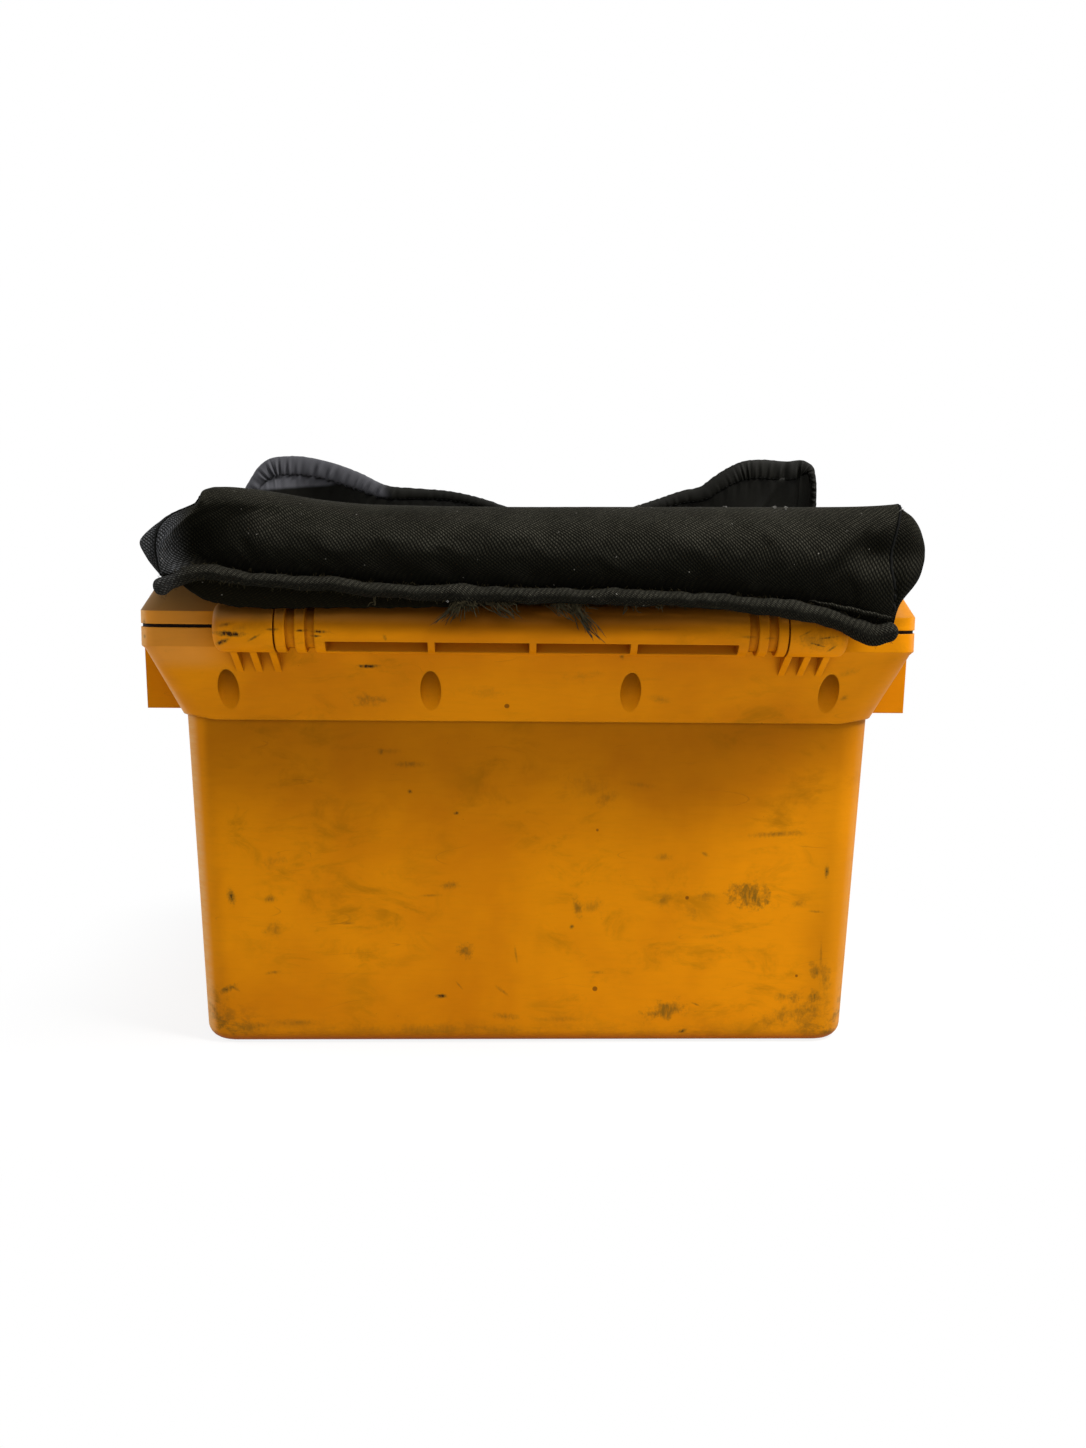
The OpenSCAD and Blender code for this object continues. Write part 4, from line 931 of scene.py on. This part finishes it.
underEdge = {
    "at": (-0.1990, -0.1965, -0.192, -0.183, -0.172, -0.158, -0.115, -0.075, -0.050, -0.020, 0.010),
    "line": (-0.0055, -0.0080, -0.0118, -0.0165, -0.0192, -0.0204, -0.0200, -0.0196, -0.0190, -0.0176,
             -0.0158),
    "front": 0.0088, "thick": 0.0014,
}


def makeUnderEdge(material):
    # Dark strip of the pad's lower cloth hanging behind the piping, which also paints the shade under the
    # pad: down its front, round the hem and up its back
    rows, columns = 190, 24
    x = np.linspace(underEdge["at"][0], underEdge["at"][-1], rows)[:, None]
    foot = lidTop + smoothThrough(underEdge["at"], underEdge["line"], x) + 0.0004 * wave(x, 2.0, 0.017, 0.007)
    head = pipingLine(x) + 0.001
    v = np.linspace(0, 1, columns, endpoint=False)[None]
    down = 1 - np.abs(2 * v - 1)
    side = np.where(v < 0.5, -1.0, 1.0) * np.sqrt(np.clip(1 - np.abs(2 * down - 1) ** 9, 0.01, 1))
    ends = np.sqrt(np.clip(np.minimum(x - x[0], x[-1] - x) / 0.004, 0.02, 1))
    y = padFront + underEdge["front"] + 0.0008 * wave(x, 3.0, 0.04, 0.017) * down
    y = y + side * underEdge["thick"] / 2 * ends
    grid = np.stack([np.broadcast_to(x, y.shape), y, head + (foot - head) * down], -1)
    return closedSkin("padUnderEdge", grid, runLengths(grid, 0), runLengths(grid, 1), material, flip=True)


padUnderEdge = makeUnderEdge(lining)

hem = {
    "x": (-0.2070, -0.2069, -0.2029, -0.1975, -0.1905, -0.1742, -0.1449, -0.1229, -0.1031, -0.0824,
          -0.0566, -0.0269, -0.0157, 0.020, 0.050, 0.0827, 0.0976, 0.1176, 0.1296, 0.1391, 0.1494,
          0.1613, 0.1747, 0.195, 0.2085, 0.2150, 0.2168, 0.2180, 0.2180),
    "h": (0.0430, 0.0600, 0.0667, 0.0748, 0.0806, 0.0836, 0.0797, 0.0722, 0.0634, 0.0618, 0.0600, 0.0532,
          0.0494, 0.0415, 0.0420, 0.0510, 0.0560, 0.0628, 0.0656, 0.0726, 0.0793, 0.0846, 0.0862, 0.0853,
          0.0858, 0.0812, 0.0745, 0.0546, 0.0380),
    "wide": (0.0080, 0.0085, 0.0100, 0.0125, 0.0138, 0.0142, 0.0138, 0.0130, 0.0105, 0.0085, 0.0075,
             0.0070, 0.0070, 0.0070, 0.0070, 0.0080, 0.0085, 0.0100, 0.0110, 0.0120, 0.0130, 0.0140,
             0.0146, 0.0142, 0.0125, 0.0075, 0.0050, 0.0040, 0.0038),
    "thick": 0.0052, "behind": 0.0135,
}


def hemPath(s):  # top outline of the hem, its width and its lean to the back, at shares 0 to 1 of its run
    px, ph = np.array(hem["x"]), np.array(hem["h"])
    run = np.concatenate([[0], np.cumsum(np.hypot(np.diff(px), np.diff(ph)))])
    at = s * run[-1]
    x, h, wide = (smoothThrough(run, hem[key], at) for key in ("x", "h", "wide"))
    tx, th = np.gradient(x, at), np.gradient(h, at)
    size = np.hypot(tx, th)
    y = padFar - hem["behind"] + 0.0042 * wave(x, 1.6, 0.23, 0.09)
    return x, h, wide, th / size, -tx / size, y, at


def makeHemCasing(material):
    # Elastic casing: a flattened tube along the top outline, pulled into pleats square to its run
    rows, columns = 1100, 26
    s = np.linspace(0, 1, rows)
    x, h, wide, nx, nh, y, at = hemPath(s)
    turn = np.linspace(0, 2 * math.pi, columns, endpoint=False)[None]
    low = smoothStep(0.050, 0.062, h)[:, None]
    pitch = np.where(x < 0, 0.0072, 0.0060)
    uneven = 1 + 0.4 * wave(at, 2.0, 0.071, 0.029)
    phase = np.cumsum(np.gradient(at) / pitch * uneven)[:, None] * 2 * math.pi
    fold = (np.sin(phase + 0.8 * np.sin(turn)) + 0.5 * np.sin(1.7 * phase + 1.0 + 1.2 * np.cos(turn))) / 1.5
    gathered = np.maximum(smoothStep(-0.085, -0.12, x), smoothStep(0.150, 0.168, x))[:, None]
    pleat = fold * (0.15 + 0.85 * gathered * low) * (0.8 + 0.4 * wave(at, 1.0, 0.045))[:, None] * 0.0015
    pleat = pleat * (0.3 + 0.7 * smoothStep(-0.6, 0.5, np.cos(turn)))
    end = np.clip(np.minimum(at, at[-1] - at) / 0.004, 0.03, 1)[:, None]
    across = np.cos(turn) * (wide[:, None] / 2 + 0.35 * pleat) * end
    deep = np.sign(np.sin(turn)) * np.abs(np.sin(turn)) ** 0.8 * (hem["thick"] / 2 + pleat) * end
    middle = wide[:, None] / 2 + 0.0002 * fold
    grid = np.stack([x[:, None] + nx[:, None] * (middle + across), y[:, None] + deep,
                     lidTop + h[:, None] + nh[:, None] * (middle + across)], -1)
    return closedSkin("padHemCasing", grid, at[:, None], across, material, turned=False)


def makeHemCloth(material):
    # Cloth between the casing and the pad's far edge: ruled straight down from the casing's inner edge,
    # with soft upright gathers below it and one slanting fold near the right end, as a thin closed shell
    rows, columns = 520, 48
    s = np.linspace(0.03, 0.955, rows)
    x, h, wide, nx, nh, y, at = hemPath(s)
    inner = 0.86
    topX, topH = x + nx * wide * inner, h + nh * wide * inner
    topX = np.maximum.accumulate(topX + at * 1e-5)
    bottom = np.minimum(0.021, topH - 0.004)
    v = np.linspace(0, 1, columns, endpoint=False)[None]
    down = 1 - np.abs(2 * v - 1)
    side = np.where(v < 0.5, -1.0, 1.0) * np.sqrt(np.clip(1 - np.abs(2 * down - 1) ** 15, 0.01, 1))
    height = topH[:, None] + (bottom[:, None] - topH[:, None]) * down
    gather = wave(at, 1.0, 0.0125, 0.0061)[:, None] * bump1(down, 0.0, 0.22) * 0.0005
    slant = topX[:, None] - 0.186 - 0.6 * (height - 0.065)
    fold = 0.0026 * bump1(slant, 0.0, 0.0035) * smoothStep(0.080, 0.070, height)
    fold = fold * smoothStep(0.14, 0.16, topX)[:, None]
    hollow = 0.0030 * np.sin(np.clip(down, 0, 1) * math.pi) * wave(topX, 0.7, 0.16, 0.07)[:, None]
    ends = np.sqrt(np.clip(np.minimum(at - at[0], at[-1] - at) / 0.004, 0.02, 1))[:, None]
    place = y[:, None] + 0.0065 * down + gather - fold + hollow + side * 0.0007 * ends
    grid = np.stack([np.broadcast_to(topX[:, None], place.shape), place, lidTop + height], -1)
    area = float(np.sum(np.diff(topX) * (topH - bottom)[1:]))
    return closedSkin("padHemCloth", grid, at[:, None], lidTop + height, material, flip=True), area


hemCasing = makeHemCasing(casingNylon)
hemCloth, hemArea = makeHemCloth(hemNylon)


def readAlong(path, run, at):  # points of a line at lengths along it
    return np.stack([np.interp(at, run, path[:, k]) for k in range(3)], -1)


def seenSeam(row):  # the part of an end seam that shows from the front, from its foot up
    seam = padShape[row]
    line = seam[(seam[:, 1] < padFront + 0.03) & (seam[:, 2] > lidTop - 0.022)]
    return line[np.argsort(line[:, 2])]


def stitchRow(path, gap, length, radius):
    # Short threads laid end to end along a line of points, each a four-sided tube with a slight arch
    # outwards
    run = runLengths(path, 0)
    starts = np.arange(gap, run[-1] - length, gap)
    points = readAlong(path, run, starts[:, None] + np.linspace(0, length, 4)[None])
    points[..., 1] -= np.array([0.0, 1.0, 1.0, 0.0])[None] * radius * 0.8
    return tubeAlong(points, np.full(len(starts), radius), 4)


def makeStitches(material):
    # Threads along the casing's seam and the pad's two end seams
    x, h, wide, nx, nh, y = hemPath(np.linspace(0.05, 0.95, 900))[:6]
    line = np.stack([x + nx * wide * 0.93, y - 0.0021, lidTop + h + nh * wide * 0.93], -1)
    sets = [stitchRow(line[h > 0.05], 0.0034, 0.0021, 0.00028)]
    for row, gap in ((pad["capRows"], 0.0032), (-1 - pad["capRows"], 0.0028)):
        sets.append(stitchRow(seenSeam(row) - np.array([0.0, 0.0004, 0.0]), gap, 0.0016, 0.00024))
    starts = np.cumsum([0] + [len(points) for points, faces in sets])
    faces = np.concatenate([faces + start for (points, faces), start in zip(sets, starts)])
    return makeMesh("padStitches", np.concatenate([points for points, faces in sets]), faces, None, material)


def makeEndSeams(material):
    # Dark cord lying in each end seam's groove as a painted shadow of the seam, over the part of it that
    # is seen from the front
    sets = []
    for row in (pad["capRows"], -1 - pad["capRows"]):
        line = seenSeam(row)
        run = runLengths(line, 0)
        at = np.linspace(0, run[-1], 90)
        path = readAlong(line, run, at)
        path[:, 0] += 0.00025 * wave(at, 1.0, 0.0051, 0.0023)
        path[:, 1] -= 0.0014
        sets.append(path[None])
    points, faces = tubeAlong(np.concatenate(sets), np.array([0.0007, 0.0009]), 6)
    return makeMesh("padEndSeams", points, faces, None, material)


padEndSeams = makeEndSeams(seamShadowCord)
stitchThread = makeFibre("stitchThread", (0.0015, 0.0015, 0.0013, 1.0), (0.006, 0.006, 0.006, 1.0))
padStitches = makeStitches(stitchThread)

# Loose threads: place across, spread, count, reach, lean to the right, scatter of the lean, matting
frayClumps = (
    (-0.0385, 0.0022, 40, 0.0070, 0.0, 0.9, 1.0), (-0.0430, 0.0030, 22, 0.0150, -0.75, 0.25, 0.6),
    (-0.0405, 0.0030, 16, 0.0140, -0.15, 0.30, 0.7), (-0.0340, 0.0030, 8, 0.0100, 0.4, 0.35, 0.7),
    (-0.0250, 0.0045, 16, 0.0105, 1.2, 0.45, 0.8), (-0.0165, 0.0040, 12, 0.0110, 0.9, 0.4, 0.8),
    (0.0170, 0.0065, 40, 0.0080, 0.5, 0.8, 1.0), (0.0230, 0.0026, 34, 0.0235, 0.62, 0.13, 0.9),
    (0.0140, 0.0050, 12, 0.0120, 0.8, 0.3, 0.7), (-0.090, 0.0030, 3, 0.0070, -0.4, 0.4, 1.0),
    (0.052, 0.0050, 5, 0.0060, 0.3, 0.6, 1.0), (0.0720, 0.004, 4, 0.0050, 0.3, 0.6, 1.0),
)


def makeFrays(material):
    # Threads pulled out of the piping: each starts at its lower edge, falls along its lean and curls by
    # sines. Then short thin fuzz standing out all along it
    random = np.random.default_rng(7)
    step = np.linspace(0, 1, 11)[None]
    sets = []
    for x, spread, count, reach, lean, scatter, mat in frayClumps:
        pull = random.uniform(0.3, 1.0, (count, 1)) * reach
        start = x + random.normal(0, 0.6, (count, 1)) * spread
        drift = (lean + random.normal(0, 1.0, (count, 1)) * scatter) * pull
        curl = random.uniform(-1, 1, (count, 3))
        px = start + drift * step ** 1.3 + 0.0011 * mat * curl[:, :1] * np.sin(step * 7.0 + curl[:, 1:2] * 3)
        pz = pipingLine(start) - 0.0036 - pull * step + 0.0006 * mat * np.sin(step * 9.0 + curl[:, 2:] * 3)
        py = padFront + 0.0010 + 0.003 * random.uniform(0, 1, (count, 1))
        py = py + 0.0008 * np.sin(step * 4 + curl[:, :1] * 3)
        sets.append(np.stack([px, np.minimum(py, padFront + 0.0068), pz], -1))
    count = 1500
    start = random.uniform(piping["at"][0] + 0.002, piping["at"][-1] - 0.002, (count, 1))
    angle = random.uniform(-0.6, 2 * math.pi - 2.2, (count, 1)) + math.pi * 0.5
    stout = smoothThrough(piping["at"], piping["stout"], start)
    out = random.uniform(0.3, 1.0, (count, 1)) ** 2 * 0.0024 * step
    bend = random.normal(0, 1.0, (count, 2)) * 0.0016
    px = start + bend[:, :1] * step
    py = padFront + piping["proud"] - np.cos(angle) * (0.0036 + out)
    pz = pipingLine(start) + np.sin(angle) * (0.0043 * stout + out) + bend[:, 1:] * 0.4 * step ** 2
    sets.append(np.stack([px, np.minimum(py, padFront + 0.008), pz], -1))
    paths = np.concatenate(sets)
    thick = random.uniform(0.00018, 0.00036, len(paths))
    thick[-count:] *= 0.33
    points, faces = tubeAlong(paths, thick)
    return makeMesh("padFrays", points, faces, None, material)


# Lint: place across, height over the lid, depth behind the front, size, threads
lintTufts = (
    (-0.1235, 0.0350, 0.0165, 0.0030, 9), (-0.1185, 0.0330, 0.0145, 0.0018, 6),
    (-0.100, 0.0375, 0.021, 0.0018, 5), (0.0600, 0.0385, 0.021, 0.0024, 8),
    (0.1090, 0.0390, 0.021, 0.0028, 9), (0.1375, 0.0392, 0.020, 0.0020, 7),
    (0.1430, 0.0385, 0.017, 0.0026, 8), (0.1370, 0.0360, 0.015, 0.0014, 5),
    (0.2060, 0.0370, 0.0085, 0.0050, 16), (0.0230, 0.0310, 0.0125, 0.0010, 4),
    (0.0860, 0.0300, 0.0115, 0.0011, 4), (-0.0480, -0.0155, -0.001, 0.0011, 5),
)


def makeLint(material):
    # Small tangles: short curved threads about one point, each a random arc
    random = np.random.default_rng(11)
    step = np.linspace(-1, 1, 5)[None, :, None]
    sets = []
    for x, height, depth, size, count in lintTufts:
        centre = np.array([x, padFront + depth, lidTop + height]) + random.normal(0, 0.3, (count, 3)) * size
        way = random.normal(0, 1, (count, 1, 3))
        way /= np.linalg.norm(way, axis=-1, keepdims=True)
        bend = random.normal(0, 0.4, (count, 1, 3))
        arc = size * 0.5 * (way * step + bend * step ** 2)
        sets.append(centre[:, None] + arc * np.array([1.0, 0.5, 0.7]))
    paths = np.concatenate(sets)
    points, faces = tubeAlong(paths, random.uniform(0.00014, 0.00026, len(paths)))
    return makeMesh("padLint", points, faces, None, material)


padFrays, padLint = makeFrays(blackFibre), makeLint(paleFibre)
for piece in (padPiping, padSeamFold, padUnderEdge, hemCasing, hemCloth, padEndSeams, padStitches, padFrays,
              padLint):
    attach(piece, "pad")
print("piping, hem, threads and lint made")

# Floor, light and camera

stageSet = {"floorSize": 6.0, "seenColour": (0.86, 0.86, 0.86, 1.0), "bounceColour": (0.70, 0.70, 0.67, 1.0),
            "footprint": (0.205, 0.14), "fade": (0.0, 0.18), "leastWhite": 0.86}


def makeFloor():
    half = stageSet["floorSize"] / 2
    mesh = bpy.data.meshes.new("floor")
    corners = [(-half, -half, 0), (half, -half, 0), (half, half, 0), (-half, half, 0)]
    mesh.from_pydata(corners, [], [(0, 1, 2, 3)])
    floor = bpy.data.objects.new("floor", mesh)
    bpy.context.scene.collection.objects.link(floor)
    material, tree, shader = newMaterial("paleFloor")
    shader.inputs["Roughness"].default_value = 0.9
    shader.inputs["Specular IOR Level"].default_value = 0.1
    white = put(tree, "ShaderNodeEmission", {"Color": (1.0, 1.0, 1.0, 1.0), "Strength": 1.0})
    place = axes(tree, objectPlace(tree))
    outX, outY = (larger(tree, calc(tree, "SUBTRACT", calc(tree, "ABSOLUTE", along), reach))
                  for along, reach in zip(place, stageSet["footprint"]))
    away = calc(tree, "SQRT", timesPlus(tree, outX, outX, times(tree, outY, outY)))
    path = put(tree, "ShaderNodeLightPath")
    seen = larger(tree, path.outputs["Is Camera Ray"], path.outputs["Is Glossy Ray"])
    near = ramp(tree, away, stageSet["fade"][0], stageSet["fade"][1], stageSet["leastWhite"], 1.0)
    fade = times(tree, near, seen)
    shade = tint(tree, seen, stageSet["bounceColour"], stageSet["seenColour"])
    link(tree, shade, shader.inputs["Base Color"])
    mix = put(tree, "ShaderNodeMixShader", {0: fade, 1: shader.outputs[0], 2: white.outputs[0]})
    tree.links.new(mix.outputs[0], tree.nodes["Material Output"].inputs["Surface"])
    mesh.materials.append(material)


def makeWorld():
    world = bpy.data.worlds.new("studio")
    world.use_nodes = True
    tree = world.node_tree
    back = tree.nodes["Background"]
    back.inputs["Color"].default_value = (1.0, 1.0, 1.0, 1.0)
    path = put(tree, "ShaderNodeLightPath")
    seen = larger(tree, path.outputs["Is Camera Ray"], path.outputs["Is Transmission Ray"])
    seen = larger(tree, seen, path.outputs["Is Glossy Ray"])
    link(tree, timesPlus(tree, seen, 0.8, 0.2), back.inputs["Strength"])
    bpy.context.scene.world = world


def makeLight(name, place, aim, size, power, colour):
    data = bpy.data.lights.new(name, "AREA")
    data.shape, data.size, data.energy, data.color = "DISK", size, power, colour
    lamp = bpy.data.objects.new(name, data)
    bpy.context.scene.collection.objects.link(lamp)
    back = np.array(place, float) - np.array(aim, float)
    lamp.location = place
    lamp.rotation_mode = "QUATERNION"
    lamp.rotation_quaternion = Vector(back).to_track_quat("Z", "Y")


view = {"place": (-0.0191, -0.9141, 0.2985), "yaw": 0.0347, "tilt": 0.1194, "roll": 0.0110,
        "focal": 1278.0, "longSide": 1448, "sensor": 36.0}


def makeCamera():
    # Right, up and back axes from the heading, the downward tilt and the roll about the line of sight
    yaw, tilt, roll = view["yaw"], view["tilt"], view["roll"]
    ahead = np.array([math.sin(yaw) * math.cos(tilt), math.cos(yaw) * math.cos(tilt), -math.sin(tilt)])
    level = np.array([math.cos(yaw), -math.sin(yaw), 0.0])
    up = np.cross(level, ahead)
    right = level * math.cos(roll) + up * math.sin(roll)
    over = up * math.cos(roll) - level * math.sin(roll)
    data = bpy.data.cameras.new("camera")
    data.sensor_width = view["sensor"]
    data.lens = view["sensor"] * view["focal"] / view["longSide"]
    camera = bpy.data.objects.new("camera", data)
    bpy.context.scene.collection.objects.link(camera)
    turned = np.eye(4)
    turned[:3, 0], turned[:3, 1], turned[:3, 2], turned[:3, 3] = right, over, -ahead, view["place"]
    camera.matrix_world = Matrix(turned.tolist())
    bpy.context.scene.camera = camera


# Lamps: name, place, aim, size across, power and colour
lamps = (("keyLight", (1.40, -0.80, 2.00), (0.0, -0.05, 0.18), 0.8, 82.0, (1.0, 0.99, 0.965)),
         ("frontBox", (-0.1, -1.6, 1.70), (0.0, 0.0, 0.12), 1.3, 9.0, (1.0, 1.0, 1.0)),
         ("leftWindow", (-1.9, 0.25, 0.75), (-0.2, 0.0, 0.15), 0.7, 15.0, (0.96, 0.97, 1.0)))

makeFloor()
makeWorld()
for lamp in lamps:
    makeLight(*lamp)
makeCamera()
bpy.context.scene.view_settings.view_transform = "Standard"
print("stage ready")
